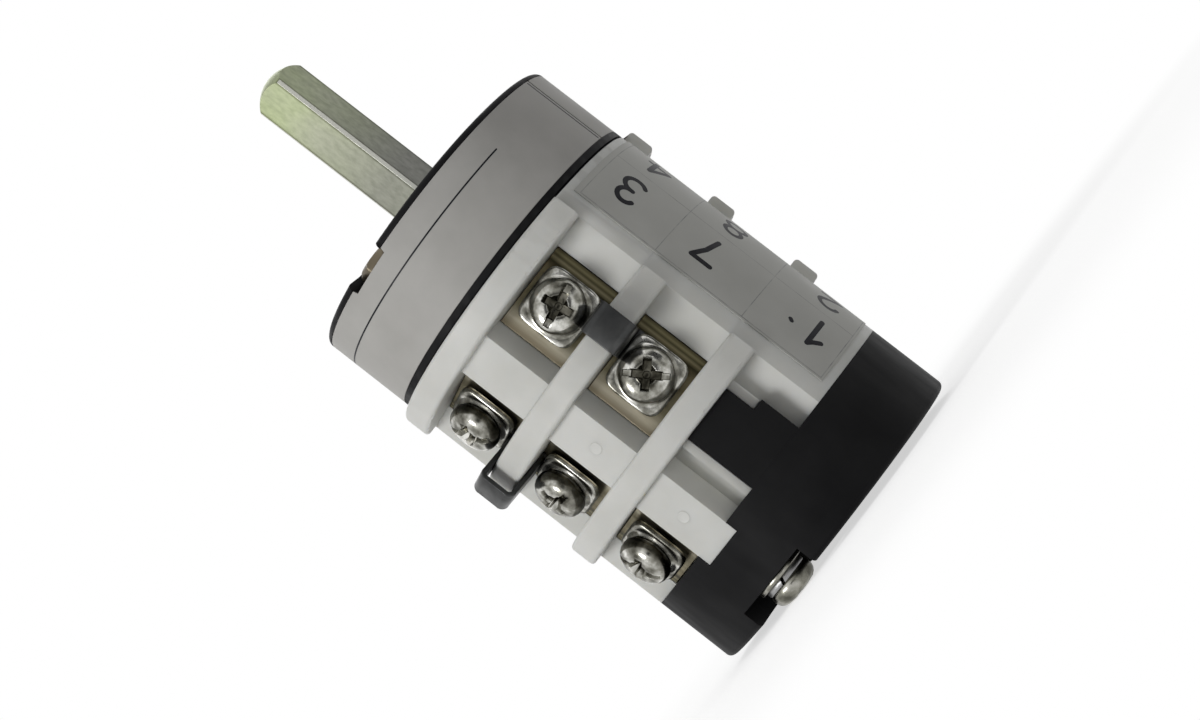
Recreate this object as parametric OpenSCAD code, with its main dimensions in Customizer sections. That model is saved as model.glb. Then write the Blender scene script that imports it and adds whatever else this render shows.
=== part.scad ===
// Cam-operated reversing switch: three contact stages bolted between a front drum and a rear cover.
// Origin at the centre of the front mounting face, +Z out along the shaft, through bolts at +Y and -Y,
// label seats at +X and -X, terminals at 60 degrees on both sides of each bolt.

/* [Body] */
// Radius of the drum, the stages and the cover
body_r = 26.5; // [26:0.1:27.4]
// Length of the front drum
drum_h = 16.75; // [16:0.25:20]
// Length of one stage, flange included
stage_pitch = 16.2; // [15.6:0.1:18]
// Thickness of the flange at the front of a stage
flange_t = 4.45; // [3.6:0.05:4.9]
// How far the flange rim stands past the body
flange_rise = 1.9; // [1.4:0.1:2.6]
// Rounding of the flange rim
flange_edge = 0.65; // [0.3:0.05:0.9]
// Length of the rear cover
cover_h = 13.65; // [12.5:0.05:16]
// Rounding of the drum's front rim and the cover's rear rim
rim_edge = 1.0; // [0.4:0.1:1.5]
// Half angle of a smooth label seat, seen from the axis
seat_half_deg = 32.3; // [30:0.1:34]
// Angle between a flange's end and the label seat
flange_end_step_deg = 1.8; // [0.8:0.1:2.5]
// Half width of a bolt rib's face
rib_half_w = 3.7; // [3.3:0.1:4.2]
// Depth of a bolt rib's flat face below the body's round
rib_flat = 0.35; // [0.1:0.05:0.7]
// How far the rear stage's bolt ribs run into the cover
rib_tail = 2.0; // [1.2:0.1:3]

/* [Drum] */
// Thickness of the drum's front wall
front_wall_t = 4.6; // [4.4:0.1:5.5]
// Thickness of the drum's side wall
drum_wall_t = 2.3; // [1.8:0.1:2.8]
// Distance from the drum's round in to a panel fixing hole
fixing_inset = 8.5; // [7.9:0.1:9.3]
// Radius of a panel fixing hole, the tapping size of an M4 screw
fixing_hole_r = 1.65; // [1.4:0.05:1.8]
// Depth of a panel fixing hole
fixing_depth = 9; // [6:0.5:11]
// Radius of the boss round a panel fixing hole
fixing_boss_r = 3.9; // [3.2:0.1:4.2]
// Depth of the notch in the front rim at each bolt
rim_notch_depth = 1.9; // [1:0.1:2.6]
// Half width of that notch
rim_notch_half_w = 4.3; // [4:0.1:5]
// Depth of the step behind the drum's rear band
band_step = 0.35; // [0.2:0.05:0.6]

/* [Labels] */
// Thickness of the paper labels
label_t = 0.16; // [0.12:0.02:0.3]
// Clear gap behind a label, taken up by its glue
label_gap = 0.02; // [0.01:0.01:0.04]
// Width of the black band in front of the front label
front_band_h = 1.1; // [0.8:0.1:2]
// Width of the black band behind the front label
rear_band_h = 1.45; // [1:0.05:2.5]
// Angle of the front label's seam
label_seam_deg = 5; // [0:1:20]
// Half angle of the number label
number_half_deg = 26; // [18:0.5:28]
// Distance from the first flange's front to the number label
number_top = 1.3; // [0.8:0.1:3]
// Length of the number label
number_h = 45.8; // [40:0.2:46.4]

/* [Shaft] */
// Width across the flats of the square shaft
shaft_w = 7.4; // [6.8:0.1:7.6]
// How far the shaft stands out of the front face
shaft_out = 33; // [20:1:45]
// Radius of the turned dome on the shaft's end
shaft_dome_r = 6.3; // [5.5:0.1:8]
// Depth of the shaft's edge chamfer, along the diagonal
shaft_edge = 0.3; // [0.2:0.05:0.6]
// Turn of the square shaft against the body at rest, from play in the cams
shaft_rest_deg = -5; // [-8:1:8]
// Turn of the shaft from rest to either end stop
throw_deg = 45; // [40:1:45]

/* [Bolts] */
// Distance from the body's round in to a through bolt
bolt_inset = 4.7; // [4.3:0.1:5.1]
// Radius of a bolt shank and of a terminal screw shank, for M4
m4_r = 2.0; // [1.8:0.1:2.1]
// Radius of a bolt head
bolt_head_r = 4.0; // [3.5:0.1:4.4]
// Height of a bolt head
bolt_head_h = 2.7; // [2:0.1:3.2]
// Radius of a flat washer
washer_r = 4.5; // [4.2:0.1:5]
// Thickness of a flat washer
washer_t = 0.8; // [0.5:0.1:1.2]
// Radius of a spring washer
spring_washer_r = 3.75; // [3.4:0.05:4]
// Thickness of a spring washer
spring_washer_t = 1.05; // [0.8:0.05:1.4]
// Width across the flats of a bolt nut
nut_w = 7; // [6.6:0.1:7.2]
// Height of a bolt nut
nut_h = 3.2; // [2.6:0.1:3.4]
// Depth of the side-open slot round a bolt head
head_slot_depth = 3.3; // [2.8:0.1:4.5]
// Half width of that slot
head_slot_half_w = 7.2; // [6:0.1:8]

/* [Terminals] */
// Half width of a terminal plate
plate_half_w = 6.9; // [6.5:0.05:7.1]
// Thickness of a terminal plate and its contact arm
plate_t = 1.2; // [0.9:0.05:1.4]
// Distance from the body's round in to a terminal plate's outer face
plate_inset = 4.5; // [4.1:0.05:4.8]
// Side of a square clamp plate
clamp_w = 9.8; // [9:0.1:9.9]
// Thickness of a clamp plate
clamp_t = 0.9; // [0.7:0.05:1.1]
// Height of a clamp plate with its pressed dome
clamp_h = 2.45; // [2:0.05:2.8]
// Radius of a terminal screw's head
screw_head_r = 4.2; // [3.6:0.1:4.6]
// Height of a terminal screw's head
screw_head_h = 3.0; // [2.4:0.1:3.3]
// Length of a terminal screw's shank
screw_l = 8; // [7:0.5:8.5]
// Thickness of a jumper strap
jumper_t = 0.8; // [0.6:0.05:1]
// Width of a jumper strap
jumper_w = 5.4; // [4.6:0.1:6]
// How far a jumper stands past the flange rim
jumper_rise = 3.2; // [2:0.1:4.6]
// Sideways place of a jumper, towards the label seat
jumper_shift = 2.0; // [1:0.1:2.4]

/* [Mechanism] */
// Radius of the hubs that turn in the stages
hub_r = 6.5; // [6:0.1:6.8]
// Mean radius of a cam
cam_r = 8.7; // [8.5:0.05:9]
// Rise of a cam over the throw, which is the travel of a plunger
cam_rise = 1.2; // [1:0.05:1.2]
// Thickness of a cam's disc
cam_t = 6; // [5:0.5:8]
// Radius of a plunger's rounded nose
nose_r = 1.0; // [0.8:0.1:1.2]
// Width of a plunger
plunger_w = 5.6; // [5:0.1:6]
// Half length of a contact bridge
bridge_half_l = 9.5; // [9:0.1:10]
// Thickness of a contact bridge
bridge_t = 0.8; // [0.6:0.05:0.9]
// Width of a contact bridge and of a contact arm
bridge_w = 5; // [4.4:0.1:6]
// Radius of a silver contact tip
tip_r = 1.9; // [1.5:0.1:2.1]
// Distance from the middle of a bridge to its tips
tip_y = 7.2; // [7:0.1:7.4]
// Thickness of a fixed contact tip
tip_t = 0.8; // [0.6:0.05:0.9]

/* [Springs] */
// Wire diameter of a contact spring
spring_wire = 0.45; // [0.35:0.05:0.5]
// Radius of a contact spring to the middle of its wire
spring_r = 2.2; // [2:0.1:2.6]
// Turns of a contact spring
spring_turns = 3; // [2:1:3]
// Wire diameter of the return spring
return_wire = 1.2; // [0.9:0.1:1.2]
// Radius of the return spring to the middle of its wire
return_r = 8.4; // [8.2:0.1:8.8]
// Turns of the return spring, ending on the side it began
return_turns = 3; // [2:1:3]

/* [Hidden] */
$fn = 96;

// Clearances, one for each kind of fit
run_gap = 0.06;
slide_gap = 0.1;
seat_gap = 0.05;
bolt_gap = 0.15;
pocket_gap = 0.3;
over = 1;

// Walls round bosses and bushes
boss_wall_t = 2;
boss_floor_t = 2;
cover_boss_wall_t = 5;

// Shares of a pan head's radius and height
head_edge_share = 0.42;
driver_w_share = 0.27;
driver_l_share = 1.24;
driver_floor_share = 0.55;
driver_mouth_share = 0.38;
driver_point_share = 0.12;
// Shares of a clamp plate's and a contact's sizes
dome_foot_share = 1.12;
dome_top_share = 0.85;
corner_share = 0.12;
spigot_share = 0.6;
moving_tip_share = 0.75;
// Length of a cam's return against its throw, and the shaft's clearance hole against its width
return_share = 55 / 45;
shaft_hole_share = 0.75;

// Colours
white_plastic = [0.82, 0.82, 0.80];
black_plastic = [0.13, 0.13, 0.14];
paper = [0.78, 0.78, 0.76];
brass = [0.62, 0.57, 0.36];
nickel = [0.76, 0.75, 0.72];
zinc = [0.66, 0.67, 0.58];
dull_strap = [0.30, 0.31, 0.32];
silver = [0.86, 0.86, 0.85];
copper = [0.72, 0.45, 0.30];
grey_plastic = [0.55, 0.56, 0.56];
spring_steel = [0.60, 0.60, 0.60];

// Places along the axis
function stage_z(k) = -drum_h - (k - 1) * stage_pitch;
chamber_h = stage_pitch - flange_t;
function chamber_top(k) = stage_z(k) - flange_t;
function chamber_mid(k) = chamber_top(k) - chamber_h / 2;
cover_z = stage_z(4);
rear_z = cover_z - cover_h;
slot_floor_z = rear_z + head_slot_depth;

// Directions in the cross-section: terminals lie 60 degrees from the label seats
terminal_deg = 60;
flange_r = body_r + flange_rise;
rib_face_y = body_r - rib_flat;
fixing_x = body_r - fixing_inset;
bolt_y = body_r - bolt_inset;
plate_face_r = body_r - plate_inset;
jumper_face_r = flange_r + jumper_rise;
rib_half_deg = asin(rib_half_w / body_r);
seat_side_deg = terminal_deg - seat_half_deg;
rib_side_deg = 90 - terminal_deg - rib_half_deg;
// A flange ends a little before the label seat does, and a bay stops between the two
flange_end_deg = seat_half_deg + flange_end_step_deg;
bay_step_deg = 0.5;

// Terminal bay and contact arm, in the cross-section
bay_floor_r = plate_face_r - plate_t;
bay_half_w = plate_half_w + slide_gap;
plate_mid_r = plate_face_r - plate_t / 2;
bend_t = plate_half_w - plate_t / 2;
arm_x = plate_mid_r * cos(terminal_deg) + bend_t * sin(terminal_deg);
arm_start_y = plate_mid_r * sin(terminal_deg) - bend_t * cos(terminal_deg);
arm_end_y = tip_y - tip_r - slide_gap;
arm_face_x = arm_x + plate_t / 2;

// Contact set, from the cam outwards
flank = atan(cam_rise / (throw_deg * PI / 180) / cam_r);
nose_x = cam_r + (nose_r + slide_gap) / cos(flank);
moving_tip_t = moving_tip_share * tip_t;
bridge_x = arm_face_x + tip_t + cam_rise + slide_gap + moving_tip_t;
spring_x = bridge_x + bridge_t;
spigot_r = spigot_share * spring_r;
bridge_pocket_x = spring_x + cam_rise + 5 * slide_gap;
bridge_pocket_y = bridge_half_l + 4 * pocket_gap;
seat_wall_t = 2.9;
spring_pocket_x = body_r - seat_wall_t;
spring_pocket_y = spring_r + 4 * pocket_gap;
cam_pocket_r = cam_r + return_share * cam_rise + 2 * pocket_gap;
plunger_h = chamber_h - 2 * slide_gap;

// Stack under a terminal screw's head and under a bolt's head
head_seat_r = plate_face_r + seat_gap + clamp_h;
washer_z = slot_floor_z - washer_t;
spring_washer_z = washer_z - spring_washer_t;
nut_pocket_depth = nut_h + bolt_gap + pocket_gap;

// Front bush and return spring
spring_shoulder_r = return_r - return_wire / 2 - pocket_gap;
driver_t = 2;
driver_r = return_r + 3 * return_wire;
driver_z = -drum_h + driver_t;
finger_w = 3;
finger_t = 2;
post_in_r = driver_r + 2 * pocket_gap;
post_l = 3;
tab_half_w = 2.5;
tab_r = bolt_y - m4_r - boss_wall_t - 2 * pocket_gap;
stop_w = 3;

// Number of straight pieces in a cam's outline
cam_steps = 120;

// Solid parts and shapes used by several pieces

// Disc with one rounded rim, from z = 0 up to z = h
module rimmed_disc(r, h, edge) {
    rotate_extrude() {
        square([r, h - edge]);
        square([r - edge, h]);
        translate([r - edge, h - edge]) circle(r = edge, $fn = 48);
    }
}

// Puts a part that is drawn for the terminal at -60 degrees at one of the four terminals
module at_terminal(side, end) {
    mirror([side < 0 ? 1 : 0, 0, 0])
        mirror([0, end < 0 ? 1 : 0, 0])
            rotate([0, 0, -terminal_deg]) children();
}

// The contact sets of a stage: both sides have one, but the rear stage has only the left one
function contact_sides(k) = k == 3 ? [-1] : [1, -1];

module at_side(side) {
    mirror([side < 0 ? 1 : 0, 0, 0]) children();
}

module both_ends() {
    for (m = [0, 1]) mirror([0, m, 0]) children();
}

// Shank holes of the two through bolts, over the whole height
module bolt_holes(top, bottom) {
    for (s = [-1, 1])
        translate([0, s * bolt_y, bottom - over])
            cylinder(r = m4_r + bolt_gap, h = top - bottom + 2 * over);
}

// Pan head with a cross and a slot, standing on z = 0
module pan_head(r, h) {
    slot_w = driver_w_share * r;
    slot_l = driver_l_share * r;
    floor_z = driver_floor_share * h;
    difference() {
        rimmed_disc(r, h, head_edge_share * h);
        for (a = [0, 90])
            rotate([0, 0, a])
                translate([-slot_l / 2, -slot_w / 2, floor_z]) cube([slot_l, slot_w, h]);
        translate([0, 0, floor_z])
            cylinder(r1 = driver_point_share * r, r2 = driver_mouth_share * r, h = 1.1 * (h - floor_z));
    }
}

// Unbroken wire along a helix, with straight rings at a steady rate; x is the wire's distance from the axis
function ring_points(c, radial, up, w) = [for (j = [0 : 5])
    c + (w / 2) * (cos(60 * j) * radial + sin(60 * j) * up)];

module wire_path(centres, radials, ups, w) {
    rings = len(centres);
    points = [for (i = [0 : rings - 1]) each ring_points(centres[i], radials[i], ups[i], w)];
    sides = [for (i = [0 : rings - 2]) for (j = [0 : 5]) let (n = (j + 1) % 6)
        each [[6 * i + j, 6 * i + 6 + j, 6 * i + n], [6 * i + n, 6 * i + 6 + j, 6 * i + 6 + n]]];
    start = [for (j = [1 : 4]) [0, j, j + 1]];
    last = 6 * (rings - 1);
    end = [for (j = [1 : 4]) [last, last + j + 1, last + j]];
    polyhedron(points, concat(sides, start, end), convexity = 6);
}

module helix(r, w, turns, length, rings_per_turn) {
    n = turns * rings_per_turn;
    rise = length - w;
    echo(coil_gap = rise / turns - w);
    angles = [for (i = [0 : n]) -360 * turns * i / n];
    centres = [for (i = [0 : n]) [r * cos(angles[i]), r * sin(angles[i]), w / 2 + rise * i / n]];
    radials = [for (a = angles) [cos(a), sin(a), 0]];
    wire_path(centres, radials, [for (a = angles) [0, 0, 1]], w);
}

// Front drum

module drum_shell() {
    difference() {
        translate([0, 0, -drum_h]) rimmed_disc(body_r, drum_h, rim_edge);
        translate([0, 0, -drum_h - over])
            cylinder(r = body_r - drum_wall_t, h = drum_h + over - front_wall_t);
        // Shallow recess that holds the label
        difference() {
            translate([0, 0, -drum_h + rear_band_h])
                cylinder(r = body_r + over, h = drum_h - rear_band_h - front_band_h);
            translate([0, 0, -drum_h]) cylinder(r = body_r - label_t - label_gap, h = drum_h);
        }
        // Small step where the drum meets the first flange
        difference() {
            translate([0, 0, -drum_h - over]) cylinder(r = body_r + over, h = band_step + over);
            translate([0, 0, -drum_h - over]) cylinder(r = body_r - band_step, h = drum_h);
        }
    }
}

// Columns, bosses, spring post and end stops inside the drum
module drum_inside() {
    inner_r = body_r - drum_wall_t + over / 2;
    boss_r = m4_r + boss_wall_t;
    for (s = [-1, 1]) {
        intersection() {
            union() {
                translate([0, s * bolt_y, -drum_h]) cylinder(r = boss_r, h = drum_h - front_wall_t / 2);
                translate([-boss_r, s > 0 ? bolt_y : -body_r, -drum_h])
                    cube([2 * boss_r, body_r - bolt_y, drum_h - front_wall_t / 2]);
            }
            cylinder(r = inner_r, h = 3 * drum_h, center = true);
        }
        translate([s * fixing_x, 0, -fixing_depth - boss_floor_t])
            cylinder(r = fixing_boss_r, h = fixing_depth + boss_floor_t - front_wall_t / 2);
    }
    post_z = driver_z + driver_t + slide_gap;
    translate([-finger_w / 2, post_in_r, post_z])
        cube([finger_w, post_l, -post_z - front_wall_t / 2]);
    for (s = [-1, 1])
        rotate([0, 0, -90 + s * throw_deg])
            translate([tab_r - 3 * tab_half_w / 2, s > 0 ? tab_half_w + slide_gap : -tab_half_w - slide_gap - stop_w,
                -drum_h])
                cube([inner_r - tab_r + 3 * tab_half_w / 2, stop_w, drum_h - front_wall_t / 2]);
}

module front_housing() {
    color(black_plastic) difference() {
        union() {
            drum_shell();
            drum_inside();
        }
        bolt_holes(0, -drum_h);
        translate([0, 0, -drum_h - over]) cylinder(r = hub_r + run_gap, h = drum_h + 2 * over);
        for (s = [-1, 1]) {
            translate([s * fixing_x, 0, -fixing_depth]) cylinder(r = fixing_hole_r, h = fixing_depth + over);
            // Hexagonal pocket for the bolt's nut
            translate([0, s * bolt_y, -nut_pocket_depth])
                cylinder(r = (nut_w + pocket_gap) / 2 / cos(30), h = nut_pocket_depth + over, $fn = 6);
            // Notch through the rim beside the nut
            translate([-rim_notch_half_w, s > 0 ? bolt_y : -body_r - over, -rim_notch_depth])
                cube([2 * rim_notch_half_w, body_r + over - bolt_y, rim_notch_depth + over]);
        }
    }
}

module front_label() {
    label_h = drum_h - rear_band_h - front_band_h;
    slit_deg = 0.8;
    color(paper) difference() {
        translate([0, 0, -drum_h + rear_band_h + seat_gap])
            rotate([0, 0, label_seam_deg + slit_deg / 2])
                rotate_extrude(angle = 360 - slit_deg)
                    translate([body_r - label_t, 0]) square([label_t, label_h - 2 * seat_gap]);
        for (s = [-1, 1])
            translate([-rim_notch_half_w, s > 0 ? bolt_y : -body_r - over, -rim_notch_depth])
                cube([2 * rim_notch_half_w, body_r + over - bolt_y, rim_notch_depth]);
    }
}

// Printed strip on the right label seat, across all three stages
module number_label() {
    color(paper) translate([0, 0, -drum_h - number_top - number_h])
        rotate([0, 0, -number_half_deg]) rotate_extrude(angle = 2 * number_half_deg)
            translate([body_r + label_gap, 0]) square([label_t, number_h]);
}

// Stage bodies

// Both arcs of a flange: a disc with a rounded rim, cut back to the body at the two label seats
module flange_arcs() {
    far = 2 * flange_r;
    difference() {
        rotate_extrude() {
            square([flange_r - flange_edge, flange_t]);
            translate([0, flange_edge]) square([flange_r, flange_t - 2 * flange_edge]);
            for (z = [flange_edge, flange_t - flange_edge])
                translate([flange_r - flange_edge, z]) circle(r = flange_edge, $fn = 48);
        }
        translate([0, 0, -over]) linear_extrude(flange_t + 2 * over)
            for (m = [0, 1]) mirror([m, 0])
                polygon([[0, 0], far * [cos(flange_end_deg), -sin(flange_end_deg)],
                    far * [cos(flange_end_deg), sin(flange_end_deg)]]);
    }
}

// Bay between two flanges: a flat floor for the terminal plate and two sloping sides that reach the
// label seat's edge and the bolt rib's edge, and run on past the body
module bay_shape() {
    seat_foot = [plate_face_r, bay_half_w];
    rib_foot = [plate_face_r, -bay_half_w];
    seat_edge = body_r * [cos(seat_side_deg - bay_step_deg), sin(seat_side_deg - bay_step_deg)];
    rib_edge = body_r * [cos(rib_side_deg), -sin(rib_side_deg)];
    polygon([
        [bay_floor_r, -bay_half_w],
        [bay_floor_r, bay_half_w],
        seat_foot,
        seat_foot + 2 * (seat_edge - seat_foot),
        [flange_r / cos(seat_side_deg), 0],
        rib_foot + 2.5 * (rib_edge - rib_foot),
        rib_foot]);
}

// Hollow for one contact set: plunger slot, bridge pocket, spring pocket and arm slots
module contact_hollow(k) {
    bottom = stage_z(k + 1) - over;
    depth = chamber_h + over;
    slot_h = chamber_mid(k) + bridge_w / 2 + slide_gap - bottom;
    translate([cam_r, -plunger_w / 2 - slide_gap, bottom])
        cube([arm_x - cam_r, plunger_w + 2 * slide_gap, depth]);
    translate([arm_x - plate_t / 2, -bridge_pocket_y, bottom])
        cube([bridge_pocket_x - arm_x + plate_t / 2, 2 * bridge_pocket_y, depth]);
    translate([bridge_pocket_x - over, -spring_pocket_y, bottom])
        cube([spring_pocket_x - bridge_pocket_x + over, 2 * spring_pocket_y, depth]);
    both_ends()
        translate([arm_x - plate_t / 2 - seat_gap, -arm_start_y - plate_t / 2, bottom])
            cube([plate_t + 2 * seat_gap, arm_start_y - bridge_pocket_y + plate_t, slot_h]);
}

module stage_body(k) {
    bottom = stage_z(k + 1);
    color(white_plastic) difference() {
        union() {
            translate([0, 0, bottom]) cylinder(r = body_r, h = stage_pitch);
            translate([0, 0, chamber_top(k)]) flange_arcs();
        }
        for (side = [1, -1]) for (end = [1, -1]) at_terminal(side, end) {
            translate([0, 0, bottom - over]) linear_extrude(chamber_h + over) bay_shape();
            if (side < 0 || k < 3)
                translate([head_seat_r - screw_l - pocket_gap, 0, chamber_mid(k)]) rotate([0, 90, 0])
                    cylinder(r = m4_r + bolt_gap, h = screw_l);
        }
        // Flat face on each bolt rib, below the flange
        both_ends() translate([-rib_half_w - over, -body_r - over, bottom - over])
            cube([2 * rib_half_w + 2 * over, body_r + over - rib_face_y, chamber_h + over]);
        translate([0, 0, bottom - over]) cylinder(r = hub_r + run_gap, h = stage_pitch + 2 * over);
        translate([0, 0, bottom - over]) cylinder(r = cam_pocket_r, h = chamber_h + over);
        for (side = contact_sides(k)) at_side(side) contact_hollow(k);
        bolt_holes(stage_z(k), bottom);
    }
}

module stage_1_body() { stage_body(1); }
module stage_2_body() { stage_body(2); }

// Width and places of the cover's tongue, in the empty bays of the rear stage
tongue_left = 3.6;
tongue_right = 5.5;
tongue_foot_right = 7.4;
tongue_step_z = 4.85;
guide_rib_w = 1.35;
guide_rib_r = 25.0;
guide_block_r = 24.3;

// Bolt rib tail: the part of the rear stage's rib that runs into the cover
rib_tail_t = rib_face_y - bolt_y - m4_r - 2 * bolt_gap;

module rib_tail_block(face_y, grow) {
    both_ends() translate([-rib_half_w - grow, -face_y, cover_z - rib_tail - grow])
        cube([2 * rib_half_w + 2 * grow, face_y - rib_face_y + rib_tail_t + grow, rib_tail + grow + over]);
}

module stage_3_body() {
    color(white_plastic) union() {
        stage_body(3);
        rib_tail_block(rib_face_y, 0);
        // Guide rib and block beside each tongue of the cover
        for (end = [1, -1]) at_terminal(1, end) {
            translate([bay_floor_r - over, -tongue_left - slide_gap - guide_rib_w, cover_z])
                cube([guide_rib_r - bay_floor_r + over, guide_rib_w, chamber_h + over]);
            translate([bay_floor_r - over, tongue_right + slide_gap, chamber_top(3) - tongue_step_z])
                cube([guide_block_r - bay_floor_r + over, bay_half_w - tongue_right, tongue_step_z + over]);
        }
    }
}

// Rear cover

cover_wall_t = 2.5;
cover_floor_t = 3.0;
cover_boss_r = hub_r + cover_boss_wall_t;
end_bush_h = 6;
support_rib_w = 7;
tongue_rib_w = 5;

module tongue() {
    top = chamber_top(3) - seat_gap;
    inner = bay_floor_r + seat_gap;
    step = tongue_step_z + slide_gap;
    intersection() {
        union() {
            translate([inner, -tongue_left, cover_z - over])
                cube([flange_r - inner, tongue_left + tongue_right, top - cover_z + over]);
            translate([inner, -tongue_left, cover_z - over])
                cube([flange_r - inner, tongue_left + min(tongue_foot_right, bay_half_w - slide_gap),
                    top - step - cover_z + over]);
            // Foot that rides up the bay's slope, kept clear of it
            translate([plate_face_r + 2 * pocket_gap, -tongue_left, cover_z - over])
                cube([flange_r - plate_face_r, tongue_left + tongue_foot_right, top - step - cover_z + over]);
        }
        translate([0, 0, cover_z - over]) cylinder(r = body_r - seat_gap, h = chamber_h + over);
    }
}

module cover_cavity() {
    inner_r = body_r - cover_wall_t;
    depth = cover_h - cover_floor_t;
    difference() {
        translate([0, 0, cover_z - depth]) cylinder(r = inner_r, h = depth + over);
        translate([0, 0, rear_z]) cylinder(r = cover_boss_r, h = cover_h + 2 * over);
        for (s = [-1, 1]) translate([0, s * bolt_y, rear_z])
            cylinder(r = head_slot_half_w + cover_wall_t / 2, h = cover_h + 2 * over);
        translate([-body_r, -support_rib_w / 2, rear_z]) cube([2 * body_r, support_rib_w, cover_h + 2 * over]);
        for (end = [1, -1]) at_terminal(1, end)
            translate([cover_boss_r - over, -tongue_rib_w / 2, rear_z])
                cube([body_r - cover_boss_r, tongue_rib_w, cover_h + 2 * over]);
        for (end = [1, -1]) at_terminal(-1, end)
            translate([cover_boss_r - over, -tongue_rib_w / 2, rear_z])
                cube([body_r - cover_boss_r, tongue_rib_w, cover_h + 2 * over]);
    }
}

module rear_cover() {
    color(black_plastic) difference() {
        union() {
            mirror([0, 0, 1]) translate([0, 0, -cover_z]) rimmed_disc(body_r, cover_h, rim_edge);
            for (end = [1, -1]) at_terminal(1, end) tongue();
        }
        cover_cavity();
        translate([0, 0, cover_z - end_bush_h - pocket_gap])
            cylinder(r = hub_r + run_gap, h = end_bush_h + pocket_gap + over);
        translate([0, 0, cover_z - end_bush_h - 3 * over])
            cylinder(r = shaft_w * shaft_hole_share, h = end_bush_h);
        bolt_holes(cover_z, rear_z);
        rib_tail_block(body_r + over, seat_gap);
        for (s = [-1, 1]) {
            translate([0, s * bolt_y, rear_z - over]) cylinder(r = head_slot_half_w, h = head_slot_depth + over);
            translate([-head_slot_half_w, s > 0 ? bolt_y : -body_r - over, rear_z - over])
                cube([2 * head_slot_half_w, body_r + over - bolt_y, head_slot_depth + over]);
        }
    }
}

// Through bolts and their washers and nuts

module at_bolts(z) {
    for (s = [-1, 1]) translate([0, s * bolt_y, z]) children();
}

module through_bolts() {
    head_z = spring_washer_z;
    color(nickel) at_bolts(head_z) {
        cylinder(r = m4_r, h = -head_z - pocket_gap - bolt_gap);
        mirror([0, 0, 1]) pan_head(bolt_head_r, bolt_head_h);
    }
}

module bolt_washers() {
    color(nickel) at_bolts(washer_z) difference() {
        cylinder(r = washer_r, h = washer_t);
        translate([0, 0, -over]) cylinder(r = m4_r + bolt_gap, h = washer_t + 2 * over);
    }
}

module bolt_spring_washers() {
    split_w = 0.7;
    color(spring_steel) at_bolts(spring_washer_z) difference() {
        cylinder(r = spring_washer_r, h = spring_washer_t);
        translate([0, 0, -over]) cylinder(r = m4_r + bolt_gap, h = spring_washer_t + 2 * over);
        rotate([25, 0, 0]) translate([0, -split_w / 2, -2 * over]) cube([2 * washer_r, split_w, 5 * over]);
    }
}

module bolt_nuts() {
    color(brass) at_bolts(-nut_h - bolt_gap - pocket_gap) difference() {
        cylinder(r = nut_w / 2 / cos(30), h = nut_h, $fn = 6);
        translate([0, 0, -over]) cylinder(r = m4_r + seat_gap, h = nut_h + 2 * over);
    }
}

// Terminals

// Brass plate in the bay, bent inwards at its seat side into the fixed contact's arm
module terminal_plate(k) {
    plate_h = chamber_h - 2 * slide_gap;
    difference() {
        union() {
            at_terminal(1, 1)
                translate([bay_floor_r, -plate_half_w, chamber_mid(k) - plate_h / 2])
                    cube([plate_t, 2 * plate_half_w, plate_h]);
            translate([arm_x - plate_t / 2, -arm_start_y, chamber_mid(k) - bridge_w / 2])
                cube([plate_t, arm_start_y - arm_end_y, bridge_w]);
        }
        at_terminal(1, 1) translate([bay_floor_r - over, 0, chamber_mid(k)]) rotate([0, 90, 0])
            cylinder(r = m4_r + seat_gap, h = plate_t + 2 * over);
    }
}

module terminal_plates(k) {
    color(brass) for (side = contact_sides(k)) at_side(side) both_ends() terminal_plate(k);
}

module fixed_tips(k) {
    color(silver) for (side = contact_sides(k)) at_side(side) both_ends()
        translate([arm_face_x, -tip_y, chamber_mid(k)]) rotate([0, 90, 0]) cylinder(r = tip_r, h = tip_t);
}

// Square clamp plate with a pressed dome under the screw's head
module clamp_plates(k) {
    dome_foot_r = dome_foot_share * screw_head_r;
    corner = corner_share * clamp_w;
    color(nickel) for (side = contact_sides(k)) for (end = [1, -1]) at_terminal(side, end)
        translate([head_seat_r - clamp_h, 0, chamber_mid(k)]) rotate([0, 90, 0])
            difference() {
                union() {
                    for (a = [0, 90]) rotate([0, 0, a])
                        translate([-clamp_w / 2, -clamp_w / 2 + corner, clamp_lift()])
                            cube([clamp_w, clamp_w - 2 * corner, clamp_t]);
                    for (x = [-1, 1]) for (y = [-1, 1])
                        translate([x * (clamp_w / 2 - corner), y * (clamp_w / 2 - corner), clamp_lift()])
                            cylinder(r = corner, h = clamp_t, $fn = 48);
                    translate([0, 0, clamp_lift()])
                        cylinder(r1 = dome_foot_r, r2 = dome_top_share * screw_head_r, h = clamp_h - clamp_lift());
                }
                translate([0, 0, -over]) cylinder(r = m4_r + bolt_gap, h = clamp_h + 2 * over);
            }
}

// A clamp plate stands off its brass plate by the thickness of a strap or a thin wire end
function clamp_lift() = jumper_t + seat_gap;

module terminal_screws(k) {
    color(nickel) for (side = contact_sides(k)) for (end = [1, -1]) at_terminal(side, end)
        translate([head_seat_r, 0, chamber_mid(k)]) rotate([0, 90, 0]) {
            translate([0, 0, -screw_l]) cylinder(r = m4_r, h = screw_l);
            rotate([0, 0, 20 + 35 * k + 25 * side]) pan_head(screw_head_r, screw_head_h);
        }
}

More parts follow.
